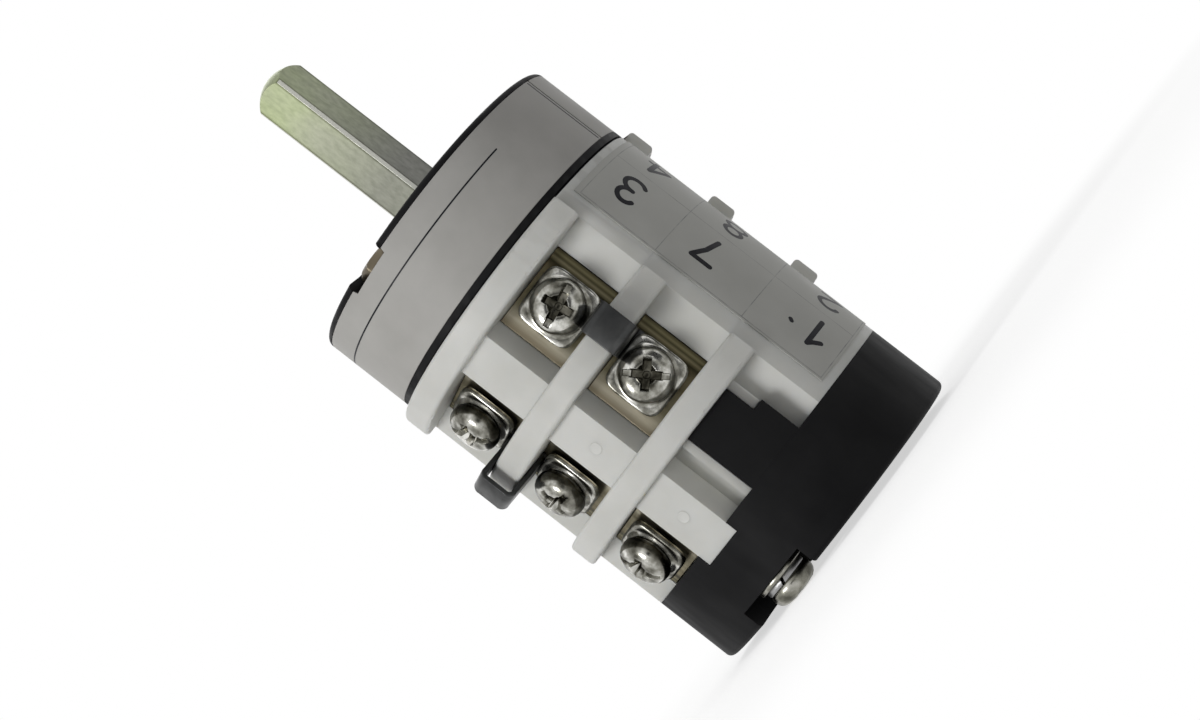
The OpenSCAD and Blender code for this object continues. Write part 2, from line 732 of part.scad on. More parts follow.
// Strap over the second flange, joining the terminals in front of and behind it
module jumper_strap() {
    reach = jumper_face_r - jumper_t / 2;
    foot = plate_face_r + seat_gap / 2 + jumper_t / 2;
    front = stage_z(2) + seat_gap + jumper_t / 2;
    back = chamber_top(2) - seat_gap - jumper_t / 2;
    front_end = chamber_mid(1) + m4_r + jumper_t;
    back_end = chamber_mid(2) - m4_r - jumper_t;
    path = [[foot, front_end], [foot, front], [reach, front], [reach, back], [foot, back], [foot, back_end]];
    difference() {
        translate([0, jumper_shift, 0]) rotate([90, 0, 0]) translate([0, 0, -jumper_w / 2])
            linear_extrude(jumper_w) for (i = [0 : len(path) - 2]) {
                run = path[i + 1] - path[i];
                translate(path[i]) rotate(atan2(run.y, run.x))
                    translate([0, -jumper_t / 2]) square([norm(run), jumper_t]);
                if (i > 0) translate(path[i]) circle(r = jumper_t / 2, $fn = 48);
            }
        // Fork slots that slip round the screws
        for (z = [chamber_mid(1), chamber_mid(2)])
            translate([plate_face_r - over, 0, z]) {
                rotate([0, 90, 0]) cylinder(r = m4_r + bolt_gap, h = jumper_t + 2 * over);
                translate([0, -m4_r - bolt_gap, z > stage_z(2) ? 0 : -2 * m4_r])
                    cube([jumper_t + 2 * over, 2 * (m4_r + bolt_gap), 2 * m4_r]);
            }
    }
}

module jumper_right() { color(dull_strap) at_terminal(1, 1) jumper_strap(); }
module jumper_left() { color(dull_strap) at_terminal(-1, 1) jumper_strap(); }

// Rotor

// Section of the square shaft: a square whose corners are cut by a turned one
module square_section(w, cut) {
    rotate(shaft_rest_deg) intersection() {
        square([w, w], center = true);
        rotate(45) square([w * sqrt(2) - cut, w * sqrt(2) - cut], center = true);
    }
}

module square_hole(top, bottom) {
    translate([0, 0, bottom - over]) linear_extrude(top - bottom + 2 * over)
        square_section(shaft_w + 2 * seat_gap, shaft_edge);
}

shaft_end_z = cover_z - end_bush_h;
pin_r = 1;
pin_z = driver_z - driver_t / 2 + seat_gap;

module shaft() {
    dome_z = shaft_out - shaft_dome_r;
    color(zinc) difference() {
        translate([0, 0, shaft_end_z]) intersection() {
            linear_extrude(shaft_out - shaft_end_z) square_section(shaft_w, shaft_edge * 2);
            union() {
                cylinder(r = shaft_w, h = dome_z - shaft_end_z);
                translate([0, 0, dome_z - shaft_end_z]) sphere(r = shaft_dome_r);
            }
        }
        translate([0, 0, pin_z]) rotate([90, 0, shaft_rest_deg])
            cylinder(r = pin_r + seat_gap, h = 2 * shaft_w, center = true);
    }
}

module shaft_pin() {
    color(spring_steel) translate([0, 0, pin_z]) rotate([90, 0, shaft_rest_deg])
        cylinder(r = pin_r, h = 2 * hub_r - 4 * pocket_gap, center = true);
}

// Black bush that turns in the drum, with the return spring's driver and the stop tab
module front_bush() {
    color(grey_plastic) difference() {
        union() {
            translate([0, 0, -drum_h + seat_gap]) cylinder(r = hub_r, h = drum_h - seat_gap);
            translate([0, 0, driver_z]) cylinder(r = spring_shoulder_r, h = -driver_z - front_wall_t - seat_gap);
            translate([0, 0, driver_z]) cylinder(r = driver_r, h = driver_t);
            translate([-finger_w / 2, driver_r - finger_t - seat_gap, driver_z])
                cube([finger_w, finger_t, -driver_z - front_wall_t - 2 * pocket_gap]);
            translate([-tab_half_w, -tab_r, driver_z]) cube([2 * tab_half_w, tab_r - hub_r, driver_t]);
        }
        square_hole(0, -drum_h);
        translate([0, 0, pin_z]) rotate([90, 0, shaft_rest_deg])
            cylinder(r = pin_r + seat_gap, h = 4 * shaft_w, center = true);
    }
}

// Radius of a cam at an angle: it rises steadily over the throw and falls back in between
function cam_wave(b, share) = let (m = (b + 90) - 180 * floor((b + 90) / 180) - 90, e = throw_deg * share)
    abs(m) <= e ? m / throw_deg
    : let (back = 180 - 2 * e, d = m > 0 ? m - e : m + 180 - e) share * (1 - 2 * d / back);

module cam(k, lift) {
    color(white_plastic) difference() {
        union() {
            translate([0, 0, stage_z(k + 1) + seat_gap]) cylinder(r = hub_r, h = stage_pitch - seat_gap);
            translate([0, 0, chamber_mid(k) - cam_t / 2]) linear_extrude(cam_t)
                polygon([for (i = [0 : cam_steps - 1]) let (b = 360 * i / cam_steps,
                    r = cam_r + lift * cam_rise * cam_wave(b, return_share)) [r * cos(b), r * sin(b)]]);
        }
        square_hole(stage_z(k), stage_z(k + 1));
    }
}

module cam_1() { cam(1, 1); }
module cam_2() { cam(2, -1); }
module cam_3() { cam(3, 1); }

module end_bush() {
    color(grey_plastic) difference() {
        translate([0, 0, cover_z - end_bush_h + seat_gap]) cylinder(r = hub_r, h = end_bush_h - seat_gap);
        square_hole(cover_z, cover_z - end_bush_h);
    }
}

// Contact sets

module plunger(k, side) {
    color(black_plastic) at_side(side) translate([0, 0, chamber_mid(k)]) {
        translate([nose_x, 0, 0]) cylinder(r = nose_r, h = cam_t, center = true, $fn = 48);
        translate([nose_x, -plunger_w / 2, -plunger_h / 2]) cube([bridge_x - nose_x, plunger_w, plunger_h]);
        translate([bridge_x - over, 0, 0]) rotate([0, 90, 0])
            cylinder(r = spigot_r, h = over + bridge_t + cam_rise);
    }
}

module bridge(k, side) {
    color(copper) at_side(side) translate([0, 0, chamber_mid(k)]) difference() {
        union() {
            translate([bridge_x, -bridge_half_l, -bridge_w / 2]) cube([bridge_t, 2 * bridge_half_l, bridge_w]);
            both_ends() translate([bridge_x - moving_tip_t, tip_y, 0]) rotate([0, 90, 0])
                cylinder(r = tip_r, h = moving_tip_t + bridge_t / 2);
        }
        translate([bridge_x - over, 0, 0]) rotate([0, 90, 0]) cylinder(r = spigot_r + seat_gap, h = 4 * over);
    }
}

module contact_spring(k, side) {
    color(spring_steel) at_side(side)
        translate([spring_x, 0, chamber_mid(k)]) rotate([0, 90, 0])
            helix(spring_r, spring_wire, spring_turns, spring_pocket_x - spring_x, 8);
}

// Return spring: a coil round the bush, whose two straight legs hold the post and the finger between them
module return_spring() {
    rings = 12;
    bend_rings = 4;
    bend_r = return_wire * 1.7;
    leg_x = finger_w / 2 + return_wire / 2 + slide_gap;
    leg_y = post_in_r + post_l;
    top = -front_wall_t - pocket_gap - return_wire / 2;
    drop = -driver_z - driver_t - front_wall_t - 2 * pocket_gap - return_wire;
    // Angle at which the coil meets the bend of a leg
    meet = acos((leg_x + bend_r) / (return_r + bend_r));
    bend_y = (return_r + bend_r) * sin(meet);
    n = return_turns * rings;
    sweep = 360 * return_turns - 180 + 2 * meet;
    echo(return_coil_gap = drop / return_turns - return_wire);
    headings = [for (i = [0 : bend_rings - 1]) -90 + meet * i / bend_rings];
    bend = [for (h = headings) [leg_x + bend_r + bend_r * sin(h), bend_y - bend_r * cos(h), top]];
    angles = [for (i = [0 : n]) meet - sweep * i / n];
    coil = [for (i = [0 : n]) [return_r * cos(angles[i]), return_r * sin(angles[i]), top - drop * i / n]];
    last = bend_rings - 1;
    out = [for (i = [last : -1 : 0]) [-bend[i].x, bend[i].y, top - drop]];
    centres = concat([[leg_x, leg_y, top]], bend, coil, out, [[-leg_x, leg_y, top - drop]]);
    bend_radials = [for (h = headings) [-sin(h), cos(h), 0]];
    radials = concat([[1, 0, 0]], bend_radials, [for (a = angles) [cos(a), sin(a), 0]],
        [for (i = [last : -1 : 0]) [-bend_radials[i].x, bend_radials[i].y, 0]], [[-1, 0, 0]]);
    color(spring_steel) wire_path(centres, radials, [for (c = centres) [0, 0, 1]], return_wire);
}

front_housing();
front_label();
number_label();
stage_1_body();
stage_2_body();
stage_3_body();
rear_cover();
through_bolts();
bolt_washers();
bolt_spring_washers();
bolt_nuts();
terminal_plates(1);  // terminal_plates_1
terminal_plates(2);  // terminal_plates_2
terminal_plates(3);  // terminal_plates_3
fixed_tips(1);  // fixed_tips_1
fixed_tips(2);  // fixed_tips_2
fixed_tips(3);  // fixed_tips_3
clamp_plates(1);  // clamp_plates_1
clamp_plates(2);  // clamp_plates_2
clamp_plates(3);  // clamp_plates_3
terminal_screws(1);  // terminal_screws_1
terminal_screws(2);  // terminal_screws_2
terminal_screws(3);  // terminal_screws_3
jumper_right();
jumper_left();
return_spring();
shaft();
shaft_pin();
front_bush();
cam_1();
cam_2();
cam_3();
end_bush();
plunger(1, 1);  // plunger_1_right
plunger(1, -1);  // plunger_1_left
plunger(2, 1);  // plunger_2_right
plunger(2, -1);  // plunger_2_left
plunger(3, -1);  // plunger_3_left
bridge(1, 1);  // bridge_1_right
bridge(1, -1);  // bridge_1_left
bridge(2, 1);  // bridge_2_right
bridge(2, -1);  // bridge_2_left
bridge(3, -1);  // bridge_3_left
contact_spring(1, 1);  // spring_1_right
contact_spring(1, -1);  // spring_1_left
contact_spring(2, 1);  // spring_2_right
contact_spring(2, -1);  // spring_2_left
contact_spring(3, -1);  // spring_3_left
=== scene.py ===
import math

import bmesh
import bpy
from mathutils import Matrix, Vector


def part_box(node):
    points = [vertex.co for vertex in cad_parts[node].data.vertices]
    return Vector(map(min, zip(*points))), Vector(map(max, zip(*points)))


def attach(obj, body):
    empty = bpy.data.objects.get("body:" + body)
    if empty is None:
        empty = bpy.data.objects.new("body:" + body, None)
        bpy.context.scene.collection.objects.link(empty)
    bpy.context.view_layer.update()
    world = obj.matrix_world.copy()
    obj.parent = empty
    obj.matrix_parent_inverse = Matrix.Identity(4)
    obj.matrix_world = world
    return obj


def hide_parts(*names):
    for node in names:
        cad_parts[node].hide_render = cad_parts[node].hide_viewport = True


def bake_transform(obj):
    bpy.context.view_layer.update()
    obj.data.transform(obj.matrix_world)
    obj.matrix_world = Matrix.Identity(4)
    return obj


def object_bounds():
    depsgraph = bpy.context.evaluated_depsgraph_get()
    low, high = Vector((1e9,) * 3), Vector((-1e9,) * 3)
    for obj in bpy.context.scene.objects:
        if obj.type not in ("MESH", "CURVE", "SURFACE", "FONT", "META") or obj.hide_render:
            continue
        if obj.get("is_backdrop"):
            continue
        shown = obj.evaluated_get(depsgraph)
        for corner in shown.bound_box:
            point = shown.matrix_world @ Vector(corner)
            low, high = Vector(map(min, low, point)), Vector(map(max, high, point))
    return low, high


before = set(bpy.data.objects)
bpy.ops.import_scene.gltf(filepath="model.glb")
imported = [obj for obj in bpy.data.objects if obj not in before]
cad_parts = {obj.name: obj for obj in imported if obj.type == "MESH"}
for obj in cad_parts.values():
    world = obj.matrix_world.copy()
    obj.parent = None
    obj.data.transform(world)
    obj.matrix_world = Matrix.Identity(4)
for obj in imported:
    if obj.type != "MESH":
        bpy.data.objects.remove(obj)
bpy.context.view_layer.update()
scene = bpy.context.scene
scene.view_settings.view_transform = "Standard"
MM = 0.001

# White contact stages
# Three moulded nylon rings, stacked behind the drum and held by the two through bolts.
# The nylon is satin, a little uneven in tone, and its edges are slightly rounded by the mould.


def added(nodes, kind, values=None, **settings):
    """A new node, with its settings and the inputs that stay the same all over."""
    node = nodes.new("ShaderNode" + kind)
    for setting in settings:
        setattr(node, setting, settings[setting])
    for socket, value in (values or {}).items():
        node.inputs[socket].default_value = value
    return node


def begin_finish(name, roughness, metallic=0.0):
    """A new finish, with its shader and the place on the object that its patterns follow."""
    finish = bpy.data.materials.new(name)
    finish.use_nodes = True
    nodes, links = finish.node_tree.nodes, finish.node_tree.links
    shader = nodes["Principled BSDF"]
    shader.inputs["Roughness"].default_value = roughness
    shader.inputs["Metallic"].default_value = metallic
    return finish, nodes, links, shader, added(nodes, "TexCoord").outputs["Object"]


def speckle(nodes, links, place, scale, detail=4.0, stretch=(1, 1, 1)):
    """A noise over the surface, with its grain drawn out along an axis where stretch is below 1."""
    mapping = added(nodes, "Mapping", {"Scale": stretch})
    links.new(place, mapping.inputs["Vector"])
    noise = added(nodes, "TexNoise", {"Scale": scale, "Detail": detail})
    links.new(mapping.outputs["Vector"], noise.inputs["Vector"])
    return noise.outputs["Fac"]


def graded(nodes, links, value, stops):
    """Colours laid over a value, from its low to its high places."""
    ramp = added(nodes, "ValToRGB")
    for element, (position, colour) in zip(ramp.color_ramp.elements, (stops[0], stops[-1])):
        element.position = position
        element.color = (*colour, 1)
    for position, colour in stops[1:-1]:
        ramp.color_ramp.elements.new(position).color = (*colour, 1)
    links.new(value, ramp.inputs["Fac"])
    return ramp.outputs["Color"]


def between(nodes, links, value, low, high, start=0.0, end=1.0):
    """How far a value has come from low to high, told from start to end."""
    reach = added(nodes, "MapRange", {"From Min": low, "From Max": high, "To Min": start, "To Max": end})
    links.new(value, reach.inputs["Value"])
    return reach.outputs["Result"]


NOISE_LOW, NOISE_HIGH = 0.3, 0.7


def spread(nodes, links, noise, start, end):
    return between(nodes, links, noise, NOISE_LOW, NOISE_HIGH, start, end)


def relief(nodes, links, shader, heights):
    """Fine relief on a surface, from several noises: each is (noise, depth in metres)."""
    normal = None
    for value, depth in heights:
        bump = added(nodes, "Bump", {"Strength": 1.0, "Distance": depth})
        links.new(value, bump.inputs["Height"])
        if normal is not None:
            links.new(normal, bump.inputs["Normal"])
        normal = bump.outputs["Normal"]
    links.new(normal, shader.inputs["Normal"])


def moulded_plastic(name, light, dark, roughness, grain, specular=0.45):
    """Plastic as it leaves the mould: clouded in tone, and duller in some runs than in others."""
    finish, nodes, links, shader, place = begin_finish(name, roughness)
    cloud = speckle(nodes, links, place, 90, 5)
    fine = speckle(nodes, links, place, 1400, 3)
    flow = speckle(nodes, links, place, 260, 2, (1, 1, 0.25))
    links.new(graded(nodes, links, cloud, [(0.35, dark), (0.62, light)]), shader.inputs["Base Color"])
    links.new(spread(nodes, links, flow, roughness - 0.08, roughness + 0.1), shader.inputs["Roughness"])
    relief(nodes, links, shader, [(flow, grain * 4), (fine, grain)])
    shader.inputs["Specular IOR Level"].default_value = specular
    return finish


WELD_GAP = 0.002
FLAT_DEG = 1.0
EDGE_DEG = 35


def modify(piece, name, kind, **settings):
    modifier = piece.modifiers.new(name, kind)
    for setting in settings:
        setattr(modifier, setting, settings[setting])


def finish_node(node, finish, width):
    """Rounds a CAD node's edges as a mould would, keeps its flat faces flat, and gives it a finish."""
    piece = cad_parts[node]
    modify(piece, "join_faces", "WELD", merge_threshold=WELD_GAP * MM)
    modify(piece, "join_flats", "DECIMATE", decimate_type="DISSOLVE", angle_limit=math.radians(FLAT_DEG))
    modify(piece, "round_edges", "BEVEL", width=width * MM, segments=2, limit_method="ANGLE",
           angle_limit=math.radians(EDGE_DEG), harden_normals=True, miter_outer="MITER_ARC")
    modify(piece, "even_flats", "WEIGHTED_NORMAL", keep_sharp=False)
    piece.data.materials.clear()
    piece.data.materials.append(finish)


NYLON_ROUGH = 0.46
NYLON_GRAIN = 0.004 * MM
STAGE_EDGE = 0.16
white_nylon = moulded_plastic("white_nylon", (0.69, 0.69, 0.66), (0.62, 0.62, 0.585), NYLON_ROUGH, NYLON_GRAIN, 0.25)
nylon_shader = white_nylon.node_tree.nodes["Principled BSDF"]
nylon_shader.inputs["Subsurface Weight"].default_value = 0.35
nylon_shader.inputs["Subsurface Scale"].default_value = 2.5 * MM
nylon_shader.inputs["Subsurface Radius"].default_value = (1.0, 0.9, 0.75)
for stage in ("stage_1_body", "stage_2_body", "stage_3_body"):
    finish_node(stage, white_nylon, STAGE_EDGE)

# Round marks of the mould's ejector pins, on the flat faces of the bolt ribs of stages 2 and 3
RIB_FACE_Y = 26.15
EJECTOR_R = 0.85
EJECTOR_PLACES = (-43.9, -60.1)
EJECTOR_RIM = 0.035
EJECTOR_STEPS = 28
EJECTOR_PROFILE = ((EJECTOR_R + 0.16, -0.02), (EJECTOR_R + 0.08, EJECTOR_RIM), (EJECTOR_R, EJECTOR_RIM),
                   (EJECTOR_R - 0.1, 0.004), (0.3, 0.012))


def circle(radius, steps):
    return [(radius * math.cos(2 * math.pi * i / steps), radius * math.sin(2 * math.pi * i / steps))
            for i in range(steps)]


def ring_of(made, points):
    """A ring of a mesh's corners, from points in millimetres."""
    return [made.verts.new(Vector(point) * MM) for point in points]


def level_ring(made, radius, z, steps):
    """A round ring of corners at one height of a turned piece."""
    return ring_of(made, [(x, y, z) for x, y in circle(radius, steps)])


def skin(made, rings):
    """Faces from each ring of corners to the next."""
    for a, b in zip(rings, rings[1:]):
        for i in range(len(a)):
            n = (i + 1) % len(a)
            made.faces.new((a[i], a[n], b[n], b[i]))


def tube(made, rings):
    """A closed body through several rings of corners."""
    skin(made, rings)
    made.faces.new(rings[0][::-1])
    made.faces.new(rings[-1])


def mesh_of(made, name):
    mesh = bpy.data.meshes.new(name)
    made.to_mesh(mesh)
    made.free()
    return mesh


def closed_mesh(made, name):
    """The mesh of closed bodies, with every face turned outwards."""
    bmesh.ops.recalc_face_normals(made, faces=made.faces)
    return mesh_of(made, name)


def ejector_marks():
    made = bmesh.new()
    for z in EJECTOR_PLACES:
        for s in (-1, 1):
            tube(made, [ring_of(made, [(x, s * (RIB_FACE_Y + depth), z + y) for x, y in circle(r, EJECTOR_STEPS)])
                        for r, depth in EJECTOR_PROFILE])
    return closed_mesh(made, "ejector_marks")


def put_in(name, data):
    """A new object in the scene."""
    made = bpy.data.objects.new(name, data)
    scene.collection.objects.link(made)
    return made


def place_piece(name, mesh, body, finish, smooth=True):
    """Puts a finished mesh, made in the object's own frame, on the body that carries it, if one body does."""
    mesh.materials.clear()
    mesh.materials.append(finish)
    for face in mesh.polygons:
        face.use_smooth = smooth
    piece = put_in(name, mesh)
    if body:
        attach(piece, body)
    return piece


mark_nylon = moulded_plastic("mark_nylon", (0.67, 0.67, 0.64), (0.61, 0.61, 0.575), NYLON_ROUGH, NYLON_GRAIN)
place_piece("ejector_marks", ejector_marks(), "housing", mark_nylon)

# Front drum and rear cover
# Black thermoset mouldings at the two ends of the stack, with a fine matt grain.
# The drum carries the panel fixing holes, and the cover's two tongues fill the empty bays of the last stage.
BLACK_EDGE = 0.2
black_moulding = moulded_plastic("black_moulding", (0.009, 0.009, 0.0095), (0.004, 0.004, 0.0045),
                                 0.56, 0.008 * MM, 0.1)
finish_node("front_housing", black_moulding, BLACK_EDGE)
finish_node("rear_cover", black_moulding, BLACK_EDGE)

# Rotor
# A grey bush at each end and a white cam in each stage turn together on the square shaft.
# They are plain turned and moulded pieces, hidden inside the stack.
ROTOR_EDGE = 0.15
grey_acetal = moulded_plastic("grey_acetal", (0.3, 0.31, 0.31), (0.24, 0.25, 0.25), 0.38, 0.003 * MM)
for bush in ("front_bush", "end_bush"):
    finish_node(bush, grey_acetal, ROTOR_EDGE)
for cam in ("cam_1", "cam_2", "cam_3"):
    finish_node(cam, white_nylon, ROTOR_EDGE)

# Square shaft
# Drawn steel bar, zinc plated and passivated to a yellow-green tint, with a turned dome at its end.
# A cross pin ties it to the front bush.
SHAFT_W = 7.4
SHAFT_TURN = 5
SHAFT_EDGE = 0.12
PIN_EDGE = 0.08
LIGHT_AND_TINT_FROM, LIGHT_AND_TINT_TO = 8, 26


def plated_metal(name, stops, low, high, grain, stretch=(1, 1, 0.12), cloud_scale=160, fine_scale=2600):
    """Metal whose tone drifts over its surface, with a fine drawn grain and a few duller patches."""
    finish, nodes, links, shader, place = begin_finish(name, low, 1.0)
    cloud = speckle(nodes, links, place, cloud_scale, 5, stretch)
    fine = speckle(nodes, links, place, fine_scale, 3, stretch)
    links.new(graded(nodes, links, cloud, stops), shader.inputs["Base Color"])
    links.new(spread(nodes, links, cloud, high, low), shader.inputs["Roughness"])
    relief(nodes, links, shader, [(fine, grain)])
    return finish


def reopened(finish):
    """A finish taken up again: its nodes, links, shader and place, and the colour that it has so far."""
    nodes, links = finish.node_tree.nodes, finish.node_tree.links
    shader = nodes["Principled BSDF"]
    place = next(node for node in nodes if node.type == "TEX_COORD").outputs["Object"]
    return nodes, links, shader, place, shader.inputs["Base Color"].links[0].from_socket


def overlaid(nodes, links, share, below, colour, blend="MULTIPLY"):
    """A colour laid over what is below it, as far as the share says."""
    mix = added(nodes, "Mix", {7: (*colour, 1)}, data_type="RGBA", blend_type=blend)
    links.new(share, mix.inputs["Factor"])
    links.new(below, mix.inputs[6])
    return mix.outputs[2]


def folded_distance(nodes, links, place, direction):
    """The distance from the shaft's axis along a direction, alike on both sides of each axis."""
    fold = added(nodes, "VectorMath", operation="ABSOLUTE")
    links.new(place, fold.inputs[0])
    along = added(nodes, "VectorMath", {1: direction}, operation="DOT_PRODUCT")
    links.new(fold.outputs["Vector"], along.inputs[0])
    return along.outputs["Value"]


zinc_plate = plated_metal("zinc_plate", [(0.3, (0.146, 0.15, 0.124)), (0.7, (0.187, 0.19, 0.16))],
                          0.36, 0.46, 0.008 * MM, (1, 1, 0.5), 1500)
nodes, links, shader, place, toned = reopened(zinc_plate)
# Towards its end the shaft has greener patches of passivation, and the whole end is made lighter as painted light
height = added(nodes, "SeparateXYZ")
links.new(place, height.inputs["Vector"])
rise = between(nodes, links, height.outputs["Z"], LIGHT_AND_TINT_FROM * MM, LIGHT_AND_TINT_TO * MM)
patch = added(nodes, "Math", operation="MULTIPLY")
links.new(spread(nodes, links, speckle(nodes, links, place, 110, 3, (1, 1, 0.6)), 0.2, 1.0), patch.inputs[0])
links.new(rise, patch.inputs[1])
toned = overlaid(nodes, links, patch.outputs["Value"], toned, (1.0, 1.11, 0.78))
toned = overlaid(nodes, links, rise, toned, (1.6, 1.62, 1.5))
# One side is painted darker and a little bluer than the rest: painted shade
square = added(nodes, "VectorRotate", {"Angle": math.radians(SHAFT_TURN)}, rotation_type="Z_AXIS")
links.new(place, square.inputs["Vector"])
flank = added(nodes, "SeparateXYZ")
links.new(square.outputs["Vector"], flank.inputs["Vector"])
side = between(nodes, links, flank.outputs["X"], (SHAFT_W / 2 - 0.12) * MM, (SHAFT_W / 2 - 0.04) * MM)
toned = overlaid(nodes, links, side, toned, (0.92, 0.91, 0.98))
# A painted shade runs beside each corner, and the corners themselves carry a painted highlight
corner = folded_distance(nodes, links, square.outputs["Vector"], (1, 1, 0))
for start, end, colour, blend in ((0.9, 0.6, (0.5, 0.5, 0.46), "MULTIPLY"), (0.5, 0.42, (0.6, 0.6, 0.55), "MIX")):
    share = between(nodes, links, corner, (SHAFT_W - start) * MM, (SHAFT_W - end) * MM)
    toned = overlaid(nodes, links, share, toned, colour, blend)
links.new(toned, shader.inputs["Base Color"])
finish_node("shaft", zinc_plate, SHAFT_EDGE)
spring_steel = plated_metal("spring_steel", [(0.35, (0.32, 0.32, 0.32)), (0.65, (0.5, 0.5, 0.5))],
                            0.28, 0.42, 0.003 * MM)
finish_node("shaft_pin", spring_steel, PIN_EDGE)

# Contact arms and plates
# Stamped brass plates lie in the bays, each bent inwards into the arm of a fixed contact.
# Silver tips are riveted to the arms. The brass has dulled to an olive brown.
TERMINAL_DEG = 60
TERMINAL_COS = math.cos(math.radians(TERMINAL_DEG))
TERMINAL_SIN = math.sin(math.radians(TERMINAL_DEG))
BRASS_HALF_SPAN = 8
BRASS_EDGE = 0.12


def paint_light_and_shade_along(finish, direction, low, high, tones):
    """Paints light and shade on a metal from one distance to another along a direction, alike in the four quarters of
    the ring.
    """
    nodes, links, shader, place, plain = reopened(finish)
    reach = between(nodes, links, folded_distance(nodes, links, place, direction), low * MM, high * MM)
    shade_paint = added(nodes, "Mix", {"Factor": 1.0}, data_type="RGBA", blend_type="MULTIPLY")
    links.new(plain, shade_paint.inputs[6])
    links.new(graded(nodes, links, reach, tones), shade_paint.inputs[7])
    links.new(shade_paint.outputs[2], shader.inputs["Base Color"])


# Painted light and shade on each plate: it is lighter towards the bolt, with a painted shade line at its edge there,
# and darker towards the number label, in bands along the shaft
dull_brass = plated_metal("dull_brass", [(0.34, (0.62, 0.6, 0.56)), (0.7, (1.0, 1.0, 1.0))],
                          0.3, 0.46, 0.006 * MM, (1, 1, 0.12), 600)
paint_light_and_shade_along(dull_brass, (TERMINAL_SIN, -TERMINAL_COS, 0), -BRASS_HALF_SPAN, BRASS_HALF_SPAN,
            [(0.1, (0.32, 0.28, 0.2)), (0.17, (0.58, 0.54, 0.43)), (0.3, (0.27, 0.245, 0.16)),
             (0.72, (0.22, 0.19, 0.115)), (0.8, (0.045, 0.04, 0.022)), (0.84, (0.24, 0.215, 0.13)),
             (0.865, (0.07, 0.062, 0.034)), (0.89, (0.2, 0.18, 0.1)), (0.93, (0.05, 0.044, 0.024))])
contact_silver = plated_metal("contact_silver", [(0.35, (0.66, 0.66, 0.63)), (0.65, (0.84, 0.84, 0.82))],
                              0.25, 0.4, 0.003 * MM, (1, 1, 1))
for k in (1, 2, 3):
    finish_node(f"terminal_plates_{k}", dull_brass, BRASS_EDGE)
    finish_node(f"fixed_tips_{k}", contact_silver, BRASS_EDGE)

# Moving contacts
# A black plunger in each set follows its cam and carries a copper bridge with two silver tips.
# They slide in the stage, straight out from the shaft.
bare_copper = plated_metal("bare_copper", [(0.35, (0.46, 0.24, 0.14)), (0.65, (0.66, 0.38, 0.24))],
                           0.26, 0.42, 0.004 * MM)
CONTACT_SETS = ("1_right", "1_left", "2_right", "2_left", "3_left")
PLUNGER_EDGE = 0.12
BRIDGE_EDGE = 0.08
for contact in CONTACT_SETS:
    finish_node("plunger_" + contact, black_moulding, PLUNGER_EDGE)
    finish_node("bridge_" + contact, bare_copper, BRIDGE_EDGE)

# Contact springs
# Small compression springs of plain steel wire behind each bridge, seated in the stage's side wall.
STAGE_MIDS = (-27.075, -43.275, -59.475)
SPRING_R = 2.2
SPRING_WIRE = 0.45
SPRING_TURNS = 3
SPRING_STEPS = SPRING_TURNS * 24


def baked(made):
    """The mesh that an object comes to, and the object taken away."""
    bpy.context.view_layer.update()
    mesh = bpy.data.meshes.new_from_object(made.evaluated_get(bpy.context.evaluated_depsgraph_get()))
    bpy.data.objects.remove(made)
    return mesh


def wire_piece(name, points, wire, body, finish):
    """A round wire along a smooth path, as a mesh tube."""
    curve = bpy.data.curves.new(name, "CURVE")
    curve.dimensions = "3D"
    curve.bevel_depth = wire / 2 * MM
    curve.bevel_resolution = 5
    curve.use_fill_caps = True
    path = curve.splines.new("POLY")
    path.points.add(len(points) - 1)
    for spot, point in zip(path.points, points):
        spot.co = (*[value * MM for value in point], 1)
    return place_piece(name, baked(put_in(name + "_path", curve)), body, finish)


for contact in CONTACT_SETS:
    stage_mid = STAGE_MIDS[int(contact[0]) - 1]
    side = 1 if contact.endswith("right") else -1
    low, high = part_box("spring_" + contact)
    inner = min(abs(low.x), abs(high.x)) / MM
    outer = max(abs(low.x), abs(high.x)) / MM
    coil = []
    for i in range(SPRING_STEPS + 1):
        share = i / SPRING_STEPS
        turn = -2 * math.pi * SPRING_TURNS * share
        along = inner + SPRING_WIRE / 2 + (outer - inner - SPRING_WIRE) * share
        coil.append((side * along, SPRING_R * math.sin(turn), stage_mid - SPRING_R * math.cos(turn)))
    spring = wire_piece("contact_spring_" + contact, coil, SPRING_WIRE, None, spring_steel)
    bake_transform(spring)
    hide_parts("spring_" + contact)

# Return spring
# Three turns of 1.2 mm wire round the front bush. Its two legs stand on both sides of a fixed post,
# with the bush's finger between them, so a turn of the shaft either way winds it.
RETURN_WIRE = 1.2
RETURN_R = 8.4
RETURN_TURNS = 3
RETURN_STEPS = 96
LEG_X = 2.2
LEG_END = 15.6
RETURN_TOP = -5.5
RETURN_DROP = 7.15
LEG_BEND = 2.04
BEND_STEPS = 12
meet = math.acos((LEG_X + LEG_BEND) / (RETURN_R + LEG_BEND))
bend_y = (RETURN_R + LEG_BEND) * math.sin(meet)
bend = []
for i in range(BEND_STEPS):
    heading = -math.pi / 2 + meet * i / BEND_STEPS
    bend.append((LEG_X + LEG_BEND + LEG_BEND * math.sin(heading), bend_y - LEG_BEND * math.cos(heading), RETURN_TOP))
sweep = 2 * math.pi * RETURN_TURNS - math.pi + 2 * meet
coil = []
for i in range(RETURN_STEPS + 1):
    turn = meet - sweep * i / RETURN_STEPS
    coil.append((RETURN_R * math.cos(turn), RETURN_R * math.sin(turn), RETURN_TOP - RETURN_DROP * i / RETURN_STEPS))
out = [(-x, y, z - RETURN_DROP) for x, y, z in reversed(bend)]
path = [(LEG_X, LEG_END, RETURN_TOP)] + bend + coil + out + [(-LEG_X, LEG_END, RETURN_TOP - RETURN_DROP)]
return_coil = wire_piece("return_coil", path, RETURN_WIRE, "housing", spring_steel)
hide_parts("return_spring")

